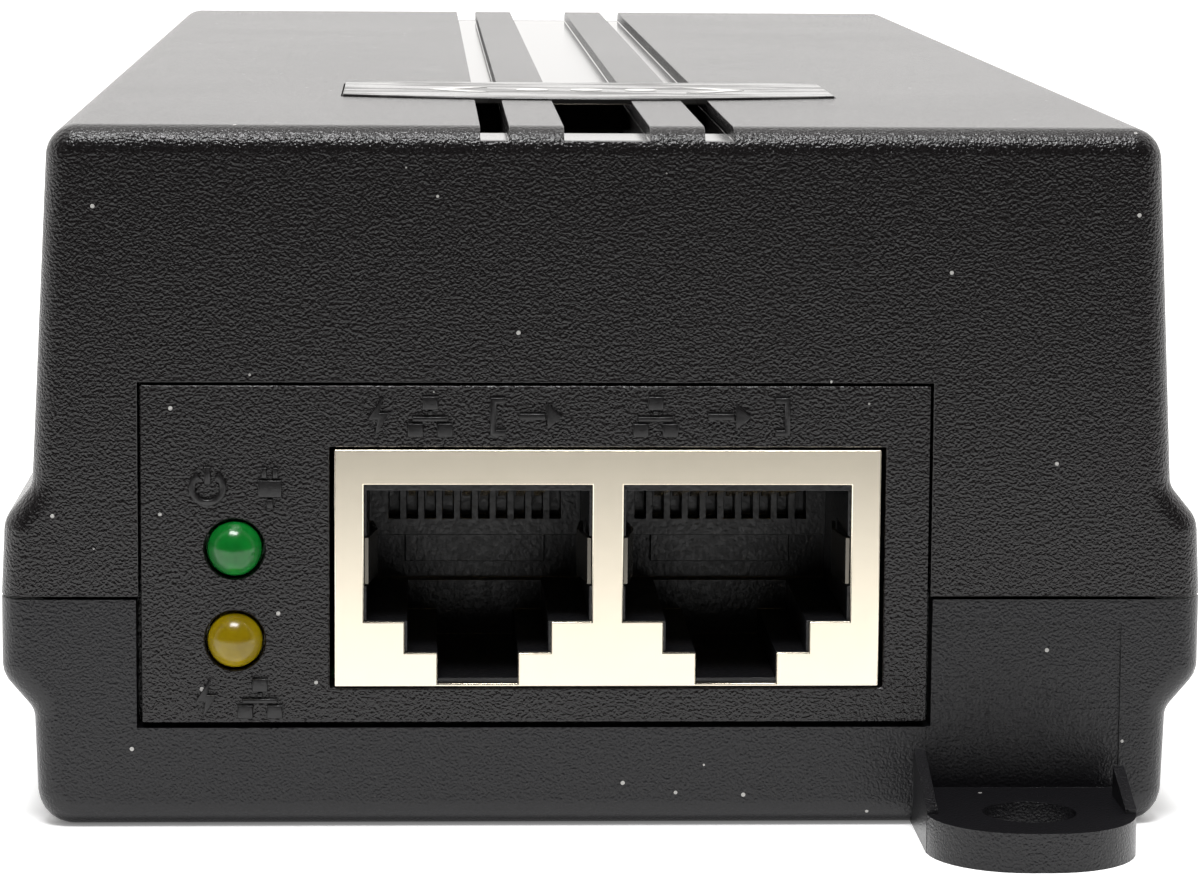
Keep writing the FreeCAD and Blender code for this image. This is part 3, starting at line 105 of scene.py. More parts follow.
# leathery spark-erosion grain: rounded cells broken up by finer noise
def buildGrain():
    tree, entry, leave = startGroup(
        "mouldGrain",
        [("Vector", "NodeSocketVector", None), ("Cells", "NodeSocketFloat", 2600.0),
         ("Fine", "NodeSocketFloat", 6500.0)],
        [("Height", "NodeSocketFloat"), ("Tone", "NodeSocketFloat")])
    vector = entry.outputs["Vector"]
    cells = textureNode(tree, "ShaderNodeTexVoronoi", (-600, 250), vector, entry.outputs["Cells"],
                        feature="SMOOTH_F1")
    cells.inputs["Smoothness"].default_value = 0.55
    lumps = textureNode(tree, "ShaderNodeTexNoise", (-600, -50), vector, entry.outputs["Cells"])
    lumps.inputs["Detail"].default_value = 1.5
    fine = textureNode(tree, "ShaderNodeTexNoise", (-600, -300), vector, entry.outputs["Fine"])
    fine.inputs["Detail"].default_value = 1.0
    hill = mathNode(tree, "MULTIPLY", (-300, 250), cells.outputs["Distance"], 0.55)
    lump = mathNode(tree, "MULTIPLY", (-300, 0), lumps.outputs["Fac"], 0.9)
    grit = mathNode(tree, "MULTIPLY", (-300, -250), fine.outputs["Fac"], 0.25)
    total = mathNode(tree, "ADD", (0, 100), mathNode(tree, "ADD", (-120, 150), hill, lump), grit)
    tree.links.new(total, leave.inputs["Height"])
    tree.links.new(rangeNode(tree, (300, -150), lumps.outputs["Fac"], 0.35, 0.65), leave.inputs["Tone"])
    return tree


# slow change of finish across a surface, from handling and uneven moulding
def buildMottle():
    tree, entry, leave = startGroup(
        "surfaceMottle",
        [("Vector", "NodeSocketVector", None), ("Scale", "NodeSocketFloat", 60.0)],
        [("Mask", "NodeSocketFloat")])
    cloud = textureNode(tree, "ShaderNodeTexNoise", (-500, 0), entry.outputs["Vector"],
                        entry.outputs["Scale"])
    cloud.inputs["Detail"].default_value = 3.0
    tree.links.new(rangeNode(tree, (0, 0), cloud.outputs["Fac"], 0.3, 0.7), leave.inputs["Mask"])
    return tree


# sparse pale specks of dust
def buildDust():
    tree, entry, leave = startGroup(
        "dustSpecks",
        [("Vector", "NodeSocketVector", None), ("Scale", "NodeSocketFloat", 420.0),
         ("Size", "NodeSocketFloat", 0.05)],
        [("Mask", "NodeSocketFloat")])
    vector = entry.outputs["Vector"]
    spots = textureNode(tree, "ShaderNodeTexVoronoi", (-600, 200), vector, entry.outputs["Scale"])
    pick = addNode(tree, "ShaderNodeSeparateColor", (-350, 0))
    tree.links.new(spots.outputs["Color"], pick.inputs[0])
    kept = mathNode(tree, "GREATER_THAN", (-120, 0), pick.outputs[0], 0.45)
    small = mathNode(tree, "LESS_THAN", (-120, 200), spots.outputs["Distance"], entry.outputs["Size"])
    tree.links.new(mathNode(tree, "MULTIPLY", (200, 100), kept, small), leave.inputs["Mask"])
    return tree


# one inside a box of Object coordinates, zero outside, with a soft border
def buildBoxMask():
    tree, entry, leave = startGroup(
        "boxMask",
        [("Vector", "NodeSocketVector", None), ("Centre", "NodeSocketVector", None),
         ("Half", "NodeSocketVector", None), ("Border", "NodeSocketFloat", 0.0002)],
        [("Mask", "NodeSocketFloat")])
    shift = addNode(tree, "ShaderNodeVectorMath", (-650, 0), operation="SUBTRACT")
    tree.links.new(entry.outputs["Vector"], shift.inputs[0])
    tree.links.new(entry.outputs["Centre"], shift.inputs[1])
    size = addNode(tree, "ShaderNodeVectorMath", (-480, 0), operation="ABSOLUTE")
    tree.links.new(shift.outputs[0], size.inputs[0])
    spare = addNode(tree, "ShaderNodeVectorMath", (-310, 0), operation="SUBTRACT")
    tree.links.new(entry.outputs["Half"], spare.inputs[0])
    tree.links.new(size.outputs[0], spare.inputs[1])
    parts = addNode(tree, "ShaderNodeSeparateXYZ", (-140, 0))
    tree.links.new(spare.outputs[0], parts.inputs[0])
    least = mathNode(tree, "MINIMUM", (60, 100), parts.outputs[0], parts.outputs[1])
    least = mathNode(tree, "MINIMUM", (220, 50), least, parts.outputs[2])
    soft = mathNode(tree, "DIVIDE", (380, 50), least, entry.outputs["Border"], clamp=True)
    tree.links.new(soft, leave.inputs["Mask"])
    return tree


groups = {"grain": buildGrain(), "mottle": buildMottle(), "dust": buildDust(), "box": buildBoxMask()}
print("shader groups built")


def startMaterial(name, color, roughness, **settings):
    material = bpy.data.materials.new(name)
    material.use_nodes = True
    tree = material.node_tree
    shader = tree.nodes["Principled BSDF"]
    shader.inputs["Base Color"].default_value = (*color, 1.0)
    shader.inputs["Roughness"].default_value = roughness
    for label, value in settings.items():
        shader.inputs[label.replace("_", " ")].default_value = value
    where = addNode(tree, "ShaderNodeTexCoord", (-1500, 0)).outputs["Object"]
    return material, tree, shader, where


def useGroup(tree, key, place, where, **values):
    node = addNode(tree, "ShaderNodeGroup", place, node_tree=groups[key])
    tree.links.new(where, node.inputs["Vector"])
    for label, value in values.items():
        node.inputs[label].default_value = value
    return node


def blendColor(tree, place, mask, low, high):
    mix = addNode(tree, "ShaderNodeMix", place, data_type="RGBA")
    tree.links.new(mask, mix.inputs[0])
    for socket, value in ((mix.inputs[6], low), (mix.inputs[7], high)):
        if isinstance(value, tuple):
            socket.default_value = (*value, 1.0)
        else:
            tree.links.new(value, socket)
    return mix.outputs[2]


def blendValue(tree, place, mask, low, high):
    mix = addNode(tree, "ShaderNodeMix", place, data_type="FLOAT")
    tree.links.new(mask, mix.inputs[0])
    for socket, value in ((mix.inputs[2], low), (mix.inputs[3], high)):
        if isinstance(value, (int, float)):
            socket.default_value = value
        else:
            tree.links.new(value, socket)
    return mix.outputs[0]


def addBump(tree, shader, height, distance, strength=1.0):
    bump = addNode(tree, "ShaderNodeBump", (-300, -400))
    bump.inputs["Strength"].default_value = strength
    bump.inputs["Distance"].default_value = distance
    tree.links.new(height, bump.inputs["Height"])
    tree.links.new(bump.outputs["Normal"], shader.inputs["Normal"])


coverLook = {
    "color": (0.0056, 0.0046, 0.0049), "colorHigh": (0.0082, 0.0069, 0.0073),
    "roughLow": 0.255, "roughHigh": 0.270, "specular": 0.46,
    "cells": 6200.0, "fine": 12000.0, "bump": 0.000056,
    "polishedColor": (0.008, 0.0078, 0.0078), "polishedRough": 0.13, "polishedBorder": 0.02 * mm,
}
baseLook = {
    "color": (0.0058, 0.0055, 0.0066), "colorHigh": (0.0095, 0.0091, 0.0108),
    "roughLow": 0.29, "roughHigh": 0.31, "specular": 0.42,
    "cells": 6800.0, "fine": 13000.0, "bump": 0.000036,
}
dustLook = {"color": (0.50, 0.49, 0.47), "scale": 480.0, "size": 0.055}


# black moulded plastic; inside the optional box the grain is polished away
def mouldedPlastic(name, look, polishedBox=None):
    material, tree, shader, where = startMaterial(
        name, look["color"], look["roughLow"], Specular_IOR_Level=look["specular"])
    grain = useGroup(tree, "grain", (-1200, -300), where, Cells=look["cells"], Fine=look["fine"])
    mottle = useGroup(tree, "mottle", (-1200, 100), where, Scale=45.0)
    dust = useGroup(tree, "dust", (-1200, 300), where, Scale=dustLook["scale"], Size=dustLook["size"])
    color = blendColor(tree, (-850, 250), grain.outputs["Tone"], look["color"], look["colorHigh"])
    rough = blendValue(tree, (-850, 0), mottle.outputs["Mask"], look["roughLow"], look["roughHigh"])
    height = grain.outputs["Height"]
    if polishedBox:
        centre, half = polishedBox
        polished = useGroup(tree, "box", (-1200, -650), where, Centre=centre, Half=half,
                            Border=look["polishedBorder"])
        color = blendColor(tree, (-650, 250), polished.outputs["Mask"], color, look["polishedColor"])
        rough = blendValue(tree, (-650, 0), polished.outputs["Mask"], rough, look["polishedRough"])
        height = blendValue(tree, (-650, -350), polished.outputs["Mask"], height, 0.5)
    color = blendColor(tree, (-450, 250), dust.outputs["Mask"], color, dustLook["color"])
    tree.links.new(color, shader.inputs["Base Color"])
    tree.links.new(rough, shader.inputs["Roughness"])
    addBump(tree, shader, height, look["bump"])
    return material


tinLook = {
    "color": (0.90, 0.82, 0.67), "colorLow": (0.875, 0.795, 0.648),
    "roughLow": 0.262, "roughHigh": 0.268,
    "flecks": 900.0, "clouds": 160.0, "bump": 0.0000008, "bumpStrength": 0.6,
}
# painted shade: a much darker copy of the tin, for the grounding fingers that sit in shadow inside the jack
shadedFingerLook = {**tinLook, "color": (0.20, 0.185, 0.16), "colorLow": (0.15, 0.14, 0.12)}


# tin plate: warm and faintly mottled, with a fine bump
def tinPlate(name, look):
    material, tree, shader, where = startMaterial(name, look["color"], look["roughLow"], Metallic=1.0)
    mottle = useGroup(tree, "mottle", (-1200, 100), where, Scale=look["flecks"])
    cloud = useGroup(tree, "mottle", (-1200, 300), where, Scale=look["clouds"])
    color = blendColor(tree, (-800, 250), cloud.outputs["Mask"], look["color"], look["colorLow"])
    rough = blendValue(tree, (-800, 0), mottle.outputs["Mask"], look["roughLow"], look["roughHigh"])
    tree.links.new(color, shader.inputs["Base Color"])
    tree.links.new(rough, shader.inputs["Roughness"])
    addBump(tree, shader, mottle.outputs["Mask"], look["bump"], look["bumpStrength"])
    return material


# smoother injection-moulded plastic of sockets, bobbins and chips
def finePlastic(name, color, rough, bump=0.000012, scale=5000.0, tone=1.35):
    material, tree, shader, where = startMaterial(name, color, rough)
    grain = useGroup(tree, "grain", (-1200, -300), where, Cells=scale, Fine=scale * 2)
    mottle = useGroup(tree, "mottle", (-1200, 100), where, Scale=140.0)
    lighter = tuple(min(1.0, channel * tone) for channel in color)
    shade = blendColor(tree, (-800, 250), mottle.outputs["Mask"], color, lighter)
    finish = blendValue(tree, (-800, 0), grain.outputs["Tone"], rough * 0.88, min(1.0, rough * 1.12))
    tree.links.new(shade, shader.inputs["Base Color"])
    tree.links.new(finish, shader.inputs["Roughness"])
    addBump(tree, shader, grain.outputs["Height"], bump)
    return material


# bare or plated metal with fine scratches along one axis
def drawnMetal(name, color, rough, stretch=(1.0, 1.0, 14.0), bump=0.000004):
    material, tree, shader, where = startMaterial(name, color, rough, Metallic=1.0)
    lay = addNode(tree, "ShaderNodeMapping", (-1300, -200))
    lay.inputs["Scale"].default_value = stretch
    tree.links.new(where, lay.inputs["Vector"])
    lines = textureNode(tree, "ShaderNodeTexNoise", (-1100, -200), lay.outputs[0], 900.0)
    lines.inputs["Detail"].default_value = 3.0
    mottle = useGroup(tree, "mottle", (-1200, 100), where, Scale=200.0)
    darker = tuple(channel * 0.8 for channel in color)
    shade = blendColor(tree, (-800, 250), mottle.outputs["Mask"], color, darker)
    finish = blendValue(tree, (-800, 0), lines.outputs["Fac"], rough * 0.7, min(1.0, rough * 1.4))
    tree.links.new(shade, shader.inputs["Base Color"])
    tree.links.new(finish, shader.inputs["Roughness"])
    addBump(tree, shader, lines.outputs["Fac"], bump)
    return material


# diffused lamp resin: coloured, cloudy, with a wet surface
def lampResin(name, color, deep):
    material, tree, shader, where = startMaterial(
        name, color, 0.22, IOR=1.45, Subsurface_Weight=0.4, Subsurface_Scale=0.0010,
        Coat_Weight=0.2, Coat_Roughness=0.08)
    shader.inputs["Subsurface Radius"].default_value = tuple(0.3 + channel for channel in color)
    cloud = useGroup(tree, "mottle", (-1200, 100), where, Scale=500.0)
    fine = useGroup(tree, "grain", (-1200, -300), where, Cells=1500.0, Fine=4000.0)
    shade = blendColor(tree, (-800, 250), cloud.outputs["Mask"], color, deep)
    tree.links.new(shade, shader.inputs["Base Color"])
    addBump(tree, shader, fine.outputs["Height"], 0.000012)
    return material


plateLook = {
    "dark": (0.020, 0.019, 0.019), "pale": (0.060, 0.057, 0.054), "roughLow": 0.16, "roughHigh": 0.42,
    "stretch": (1.0, 5.0, 1.0), "streaks": 150.0, "bump": 0.00008,
}


# dark glossy plate with long streaks of uneven polish
def glossyPlate(name, look):
    material, tree, shader, where = startMaterial(name, look["dark"], look["roughLow"])
    lay = addNode(tree, "ShaderNodeMapping", (-1300, -200))
    lay.inputs["Scale"].default_value = look["stretch"]
    tree.links.new(where, lay.inputs["Vector"])
    streak = textureNode(tree, "ShaderNodeTexNoise", (-1100, -200), lay.outputs[0], look["streaks"])
    streak.inputs["Detail"].default_value = 3.0
    mask = rangeNode(tree, (-850, -200), streak.outputs["Fac"], 0.42, 0.68)
    shade = blendColor(tree, (-600, 200), mask, look["dark"], look["pale"])
    finish = blendValue(tree, (-600, 0), mask, look["roughLow"], look["roughHigh"])
    tree.links.new(shade, shader.inputs["Base Color"])
    tree.links.new(finish, shader.inputs["Roughness"])
    addBump(tree, shader, streak.outputs["Fac"], look["bump"])
    return material


boardLook = {"base": (0.012, 0.10, 0.035), "mask": (0.010, 0.085, 0.030), "track": (0.035, 0.20, 0.07),
             "rough": 0.3, "coat": 0.3, "tracks": 260.0, "bump": 0.00003}


# circuit board: solder mask over traces that show as slightly raised paler lines
def solderMask(name, look):
    material, tree, shader, where = startMaterial(name, look["base"], look["rough"], Coat_Weight=look["coat"])
    tracks = textureNode(tree, "ShaderNodeTexVoronoi", (-1100, -100), where, look["tracks"],
                         distance="MANHATTAN")
    mask = rangeNode(tree, (-850, -100), tracks.outputs["Distance"], 0.32, 0.38)
    shade = blendColor(tree, (-600, 200), mask, look["mask"], look["track"])
    tree.links.new(shade, shader.inputs["Base Color"])
    addBump(tree, shader, mask, look["bump"])
    return material


# only the floors of the three roof grooves are polished
groove = {"depth": 0.75 * mm, "half": 8.3 * mm, "fromEnd": mm, "halfHeight": 0.08 * mm}
coverLow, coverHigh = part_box("top_cover")
grooveBox = ((0.0, 0.0, coverHigh.z - groove["depth"]),
             (groove["half"], coverHigh.y - groove["fromEnd"], groove["halfHeight"]))

materials = {
    "coverPlastic": mouldedPlastic("coverPlastic", coverLook, grooveBox),
    "panelPlastic": mouldedPlastic("panelPlastic", coverLook),
    "basePlastic": mouldedPlastic("basePlastic", baseLook),
    "tinPlate": tinPlate("tinPlate", tinLook),
    # the grounding fingers' tin is darkened as painted shade
    "fingerTinPaintedShade": tinPlate("fingerTinPaintedShade", shadedFingerLook),
    "socketPlastic": finePlastic("socketPlastic", (0.0045, 0.0045, 0.0055), 0.34, 0.00002, 3500.0),
    "signPlastic": finePlastic("signPlastic", (0.0060, 0.0055, 0.0058), 0.34, 0.000008, 3500.0),
    "contactGold": drawnMetal("contactGold", (0.90, 0.66, 0.30), 0.22),
    "leadTin": drawnMetal("leadTin", (0.75, 0.74, 0.72), 0.3),
    "screwSteel": drawnMetal("screwSteel", (0.16, 0.16, 0.165), 0.34, (1.0, 1.0, 1.0)),
    "heatsinkAluminium": drawnMetal("heatsinkAluminium", (0.80, 0.81, 0.82), 0.35),
    "lampGreen": lampResin("lampGreen", (0.004, 0.19, 0.022), (0.002, 0.115, 0.013)),
    "lampAmber": lampResin("lampAmber", (0.34, 0.25, 0.002), (0.23, 0.16, 0.001)),
    "labelPlate": glossyPlate("labelPlate", plateLook),
    "labelFilm": finePlastic("labelFilm", (0.42, 0.43, 0.44), 0.4, 0.000006, 2500.0, 1.08),
    "emblemInk": finePlastic("emblemInk", (0.72, 0.71, 0.69), 0.35, 0.000004, 3000.0, 1.08),
    "boardMask": solderMask("boardMask", boardLook),
    "insulationFilm": finePlastic("insulationFilm", (0.60, 0.58, 0.50), 0.25, 0.000008, 900.0, 1.1),
    "fuseGlass": finePlastic("fuseGlass", (0.70, 0.74, 0.74), 0.08, 0.000002, 900.0, 1.1),
    "capacitorSleeve": finePlastic("capacitorSleeve", (0.012, 0.013, 0.03), 0.25, 0.000006, 1600.0),
    "discLacquer": finePlastic("discLacquer", (0.03, 0.11, 0.28), 0.3, 0.00003, 1200.0),
    "filmShell": finePlastic("filmShell", (0.62, 0.42, 0.03), 0.32, 0.00001, 2600.0),
    "chipEpoxy": finePlastic("chipEpoxy", (0.018, 0.018, 0.019), 0.5, 0.00002, 5200.0),
    "ferrite": finePlastic("ferrite", (0.035, 0.035, 0.038), 0.42, 0.00002, 4200.0),
    "copperWire": drawnMetal("copperWire", (0.72, 0.30, 0.12), 0.28, (1.0, 1.0, 20.0)),
    "windingTape": finePlastic("windingTape", (0.66, 0.52, 0.05), 0.22, 0.00001, 700.0, 1.15),
}
print("materials made:", len(materials))


def link(piece):
    collection.objects.link(piece)
    return piece


def setLook(piece, key):
    piece.data.materials.clear()
    piece.data.materials.append(materials[key])
    for face in piece.data.polygons:
        face.material_index = 0


skinWork = {"flatAngle": math.radians(0.5), "sharpAngle": math.radians(32.0), "steps": 2, "flatWeight": 80}


# The frame's triangles are merged into one skin with clean flat faces, its sharp edges get a small
# moulded radius, and the result stands for the frame's own node.
def smoothSkin(nodeName, pieceName, look, edge):
    mesh = nodes[nodeName].data.copy()
    skin = bmesh.new()
    skin.from_mesh(mesh)
    bmesh.ops.remove_doubles(skin, verts=skin.verts, dist=mergeGap)
    bmesh.ops.dissolve_degenerate(skin, edges=skin.edges, dist=mergeGap)
    bmesh.ops.dissolve_limit(skin, angle_limit=skinWork["flatAngle"], verts=skin.verts, edges=skin.edges)
    skin.to_mesh(mesh)
    skin.free()
    piece = link(bpy.data.objects.new(pieceName, mesh))
    mesh.shade_smooth()
    mesh.set_sharp_from_angle(angle=skinWork["sharpAngle"])
    if edge:
        radius = piece.modifiers.new("edgeRadius", "BEVEL")
        radius.width = edge
        radius.segments = skinWork["steps"]
        radius.limit_method = "ANGLE"
        radius.angle_limit = skinWork["sharpAngle"]
        radius.use_clamp_overlap = True
    level = piece.modifiers.new("flatFaces", "WEIGHTED_NORMAL")
    level.weight = skinWork["flatWeight"]
    level.keep_sharp = True
    setLook(piece, look)
    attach(piece, rootBody)
    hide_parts(nodeName)


# for each node: its piece, look, material slot and edge radius
skins = {
    "top_cover": ("topCoverShell", "coverPlastic", "cover_plastic", 0.12 * mm),
    "bottom_base": ("bottomBaseShell", "basePlastic", "base_plastic", 0.12 * mm),
    "front_panel": ("frontPanelInsert", "panelPlastic", "panel_plastic", 0.08 * mm),
    "rear_panel": ("rearPanelInsert", "panelPlastic", "panel_plastic", 0.08 * mm),
    "jack_shield": ("jackShieldSheet", "tinPlate", "shield_tin", 0.06 * mm),
    "jack_housing": ("jackHousingBlock", "socketPlastic", "socket_plastic", 0.05 * mm),
    "inlet_housing": ("inletHousingBlock", "socketPlastic", "socket_plastic", 0.15 * mm),
    "inlet_blades": ("inletBladeSet", "leadTin", "lead_tin", 0.25 * mm),
    "top_label": ("roofPlate", "labelPlate", "label_plate", 0.08 * mm),
    "green_lamp": ("greenLampDome", "lampGreen", "lamp_green", 0.0),
    "amber_lamp": ("amberLampDome", "lampAmber", "lamp_amber", 0.0),
}
for nodeName, (pieceName, look, slot, edge) in skins.items():
    smoothSkin(nodeName, pieceName, look, edge)
print("case, jack, inlet and lamps skinned:", len(skins))

plainLooks = {
    "rating_label": "labelFilm", "board_screws": "screwSteel",
    # the grounding fingers get the darkened tin, painted shade
    "left_outer_finger": "fingerTinPaintedShade", "left_inner_finger": "fingerTinPaintedShade",
    "right_outer_finger": "fingerTinPaintedShade", "right_inner_finger": "fingerTinPaintedShade",
    "left_contact_arms": "contactGold", "right_contact_arms": "contactGold",
    "left_contact_wires": "contactGold", "right_contact_wires": "contactGold",
    "lamp_leads": "leadTin", "fuse_clips": "leadTin", "main_board": "boardMask",
    "insulating_sheet": "insulationFilm", "fuse_link": "fuseGlass",
    "bulk_capacitor": "capacitorSleeve", "aux_capacitor": "capacitorSleeve",
    "output_capacitors": "capacitorSleeve",
    "thermistor": "discLacquer", "varistor": "discLacquer", "safety_capacitor": "discLacquer",
    "filter_capacitor": "filmShell", "bridge_rectifier": "chipEpoxy", "optocoupler": "chipEpoxy",
    "control_chip": "chipEpoxy", "line_transformer": "chipEpoxy", "port_control_chip": "chipEpoxy",
    "switching_transistor": "chipEpoxy", "output_diode": "chipEpoxy", "board_resistors": "chipEpoxy",
    "line_choke_core": "ferrite", "transformer_core": "ferrite", "output_choke": "ferrite",
    "line_choke_windings": "copperWire", "transformer_winding": "windingTape",
    "transformer_bobbin": "socketPlastic", "primary_heatsink": "heatsinkAluminium",
    "secondary_heatsink": "heatsinkAluminium",
}
for nodeName, look in plainLooks.items():
    setLook(nodes[nodeName], look)
print("inner pieces finished:", len(plainLooks))


screwLook = {"head": 2.8 * mm, "shank": 1.5 * mm, "crown": 2.2 * mm, "cross": 1.5 * mm, "slot": 0.375 * mm,
             "rim": 0.35 * mm, "recess": 1.1 * mm, "lidShare": 0.98, "sides": 40, "shankSides": 24,
             "sharp": math.radians(35), "turn": 0.5}


# filled outlines with a rounded rim, as a mesh whose middle lies at height zero
def outlineMesh(name, outlines, depth, rim):
    curve = bpy.data.curves.new(name + "Curve", "CURVE")
    curve.dimensions = "2D"
    curve.fill_mode = "BOTH"
    curve.extrude = max(depth / 2 - rim, 0.0)
    curve.bevel_depth = rim
    curve.bevel_resolution = 2
    curve.offset = -rim
    for outline in outlines:
        spline = curve.splines.new("POLY")
        spline.points.add(len(outline) - 1)
        for point, (x, y) in zip(spline.points, outline):
            point.co = (x, y, 0.0, 1.0)
        spline.use_cyclic_u = True
    maker = link(bpy.data.objects.new(name + "Maker", curve))
    bpy.context.view_layer.update()
    mesh = bpy.data.meshes.new_from_object(maker.evaluated_get(bpy.context.evaluated_depsgraph_get()))
    bpy.data.objects.remove(maker)
    return mesh


def circlePoints(radius, centre=(0.0, 0.0), count=24):
    angles = [math.tau * i / count for i in range(count)]
    return [(centre[0] + radius * math.cos(a), centre[1] + radius * math.sin(a)) for a in angles]


def crossPoints(reach, half):
    quarter = [(reach, half), (half, half), (half, reach), (-half, reach)]
    angles = [math.tau * i / 4 for i in range(4)]
    return [(x * math.cos(a) - y * math.sin(a), x * math.sin(a) + y * math.cos(a))
            for a in angles for x, y in quarter]


# pan head with a cross recess, crown down at height zero, and a plain shank above it
def screwPattern(look, length):
    whole = bmesh.new()
    outlines = [circlePoints(look["head"], count=look["sides"]), crossPoints(look["cross"], look["slot"])]
    head = outlineMesh("screwCrown", outlines, look["crown"], look["rim"])
    head.transform(Matrix.Translation((0, 0, look["crown"] / 2)))
    whole.from_mesh(head)
    seat = look["crown"] - look["recess"]
    lid = look["head"] - look["rim"]
    bmesh.ops.create_cone(whole, cap_ends=True, segments=look["sides"], radius1=lid, radius2=lid,
                          depth=seat * look["lidShare"],
                          matrix=Matrix.Translation((0, 0, look["recess"] + seat / 2)))
    stem = length - look["crown"]
    bmesh.ops.create_cone(whole, cap_ends=True, segments=look["shankSides"], radius1=look["shank"],
                          radius2=look["shank"], depth=stem,
                          matrix=Matrix.Translation((0, 0, look["crown"] + stem / 2)))
    mesh = bpy.data.meshes.new("screwPattern")
    whole.to_mesh(mesh)
    whole.free()
    mesh.shade_smooth()
    mesh.set_sharp_from_angle(angle=look["sharp"])
    return link(bpy.data.objects.new("screwPattern", mesh))


# Each point gets the pattern, turned a little further than the one before.
def repeatTree():
    tree = bpy.data.node_groups.new("repeatPattern", "GeometryNodeTree")
    sockets = {}
    for label, kind in (("Geometry", "NodeSocketGeometry"), ("Pattern", "NodeSocketObject"),
                        ("Look", "NodeSocketMaterial"), ("Turn", "NodeSocketFloat")):
        sockets[label] = tree.interface.new_socket(label, in_out="INPUT", socket_type=kind).identifier
    tree.interface.new_socket("Geometry", in_out="OUTPUT", socket_type="NodeSocketGeometry")
    entry = addNode(tree, "NodeGroupInput", (-800, 0))
    pattern = addNode(tree, "GeometryNodeObjectInfo", (-550, -150))
    order = addNode(tree, "GeometryNodeInputIndex", (-800, -350))
    turn = mathNode(tree, "MULTIPLY", (-600, -350), order.outputs[0], entry.outputs["Turn"])
    angles = addNode(tree, "ShaderNodeCombineXYZ", (-400, -350))
    place = addNode(tree, "GeometryNodeInstanceOnPoints", (-250, 0))
    real = addNode(tree, "GeometryNodeRealizeInstances", (0, 0))
    paint = addNode(tree, "GeometryNodeSetMaterial", (200, 0))
    leave = addNode(tree, "NodeGroupOutput", (400, 0))
    tree.links.new(entry.outputs["Pattern"], pattern.inputs["Object"])
    tree.links.new(turn, angles.inputs[2])
    tree.links.new(entry.outputs["Geometry"], place.inputs["Points"])
    tree.links.new(pattern.outputs["Geometry"], place.inputs["Instance"])
    tree.links.new(angles.outputs[0], place.inputs["Rotation"])
    tree.links.new(place.outputs["Instances"], real.inputs["Geometry"])
    tree.links.new(real.outputs["Geometry"], paint.inputs["Geometry"])
    tree.links.new(entry.outputs["Look"], paint.inputs["Material"])
    tree.links.new(paint.outputs["Geometry"], leave.inputs["Geometry"])
    return tree, sockets


def repeatAt(name, spots, pattern, look, turn):
    mesh = bpy.data.meshes.new(name + "Spots")
    mesh.from_pydata(spots, [], [])
    piece = link(bpy.data.objects.new(name, mesh))
    tree, sockets = repeatTree()
    repeat = piece.modifiers.new("repeat", "NODES")
    repeat.node_group = tree
    repeat[sockets["Pattern"]] = pattern
    repeat[sockets["Look"]] = materials[look]
    repeat[sockets["Turn"]] = turn
    bpy.context.view_layer.update()
    real = bpy.data.meshes.new_from_object(piece.evaluated_get(bpy.context.evaluated_depsgraph_get()))
    piece.modifiers.remove(repeat)
    piece.data = real
    bpy.data.objects.remove(pattern)
    return piece


screwLow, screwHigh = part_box("case_screws")
inset = screwLook["head"]
screwSpots = [(x, y, screwLow.z) for x in (screwLow.x + inset, screwHigh.x - inset)
              for y in (screwLow.y + inset, screwHigh.y - inset)]
screw = screwPattern(screwLook, screwHigh.z - screwLow.z)
screwSet = repeatAt("caseScrewSet", screwSpots, screw, "screwSteel", screwLook["turn"])
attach(screwSet, rootBody)
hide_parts("case_screws")
print("case screws repeated:", len(screwSpots))


def arcBand(radius, width, startAngle, endAngle, count=26):
    angles = [math.radians(startAngle + (endAngle - startAngle) * i / count) for i in range(count + 1)]
    outer, inner = radius + width / 2, radius - width / 2
    return ([(outer * math.cos(a), outer * math.sin(a)) for a in angles]
            + [(inner * math.cos(a), inner * math.sin(a)) for a in reversed(angles)])


def boxPoints(x0, y0, x1, y1):
    return [(x0, y0), (x1, y0), (x1, y1), (x0, y1)]


stroke = 0.30    # millimetres, like the rest of the pictograms' sizes
signSharp = math.radians(50)


def powerSign(x):
    ring = [(x + px, py) for px, py in arcBand(0.72, stroke, 125, 415)]
    return [ring, boxPoints(x - stroke / 2, 0.15, x + stroke / 2, 0.98)]


def plugSign(x):
    return [boxPoints(x - 0.55, -0.45, x + 0.55, 0.35),
            boxPoints(x - 0.38, 0.45, x - 0.14, 0.95),
            boxPoints(x + 0.14, 0.45, x + 0.38, 0.95),
            boxPoints(x - stroke / 2, -0.98, x + stroke / 2, -0.55)]


def boltSign(x):
    return [[(x + 0.20, 0.98), (x - 0.52, -0.14), (x - 0.05, -0.14),
             (x - 0.20, -0.98), (x + 0.52, 0.18), (x + 0.05, 0.18)]]


def networkSign(x):
    return [boxPoints(x - 0.36, 0.32, x + 0.36, 0.95), boxPoints(x - 1.05, -0.95, x - 0.33, -0.32),
            boxPoints(x + 0.33, -0.95, x + 1.05, -0.32), boxPoints(x - 0.82, -0.22, x + 0.82, 0.0),
            boxPoints(x - 0.12, 0.08, x + 0.12, 0.26)]


def arrowSign(x, turn):
    head = [(x + turn * 1.25, 0.0), (x + turn * 0.55, 0.62), (x + turn * 0.55, -0.62)]
    ends = sorted((x - turn * 0.75, x + turn * 0.47))
    return [head, boxPoints(ends[0], -0.15, ends[1], 0.15)]


def bracketSign(x, turn):
    wide, thin = x + turn * 0.7, x + turn * 0.28
    return [[(x, 0.9), (wide, 0.9), (wide, 0.62), (thin, 0.62),
             (thin, -0.62), (wide, -0.62), (wide, -0.9), (x, -0.9)]]


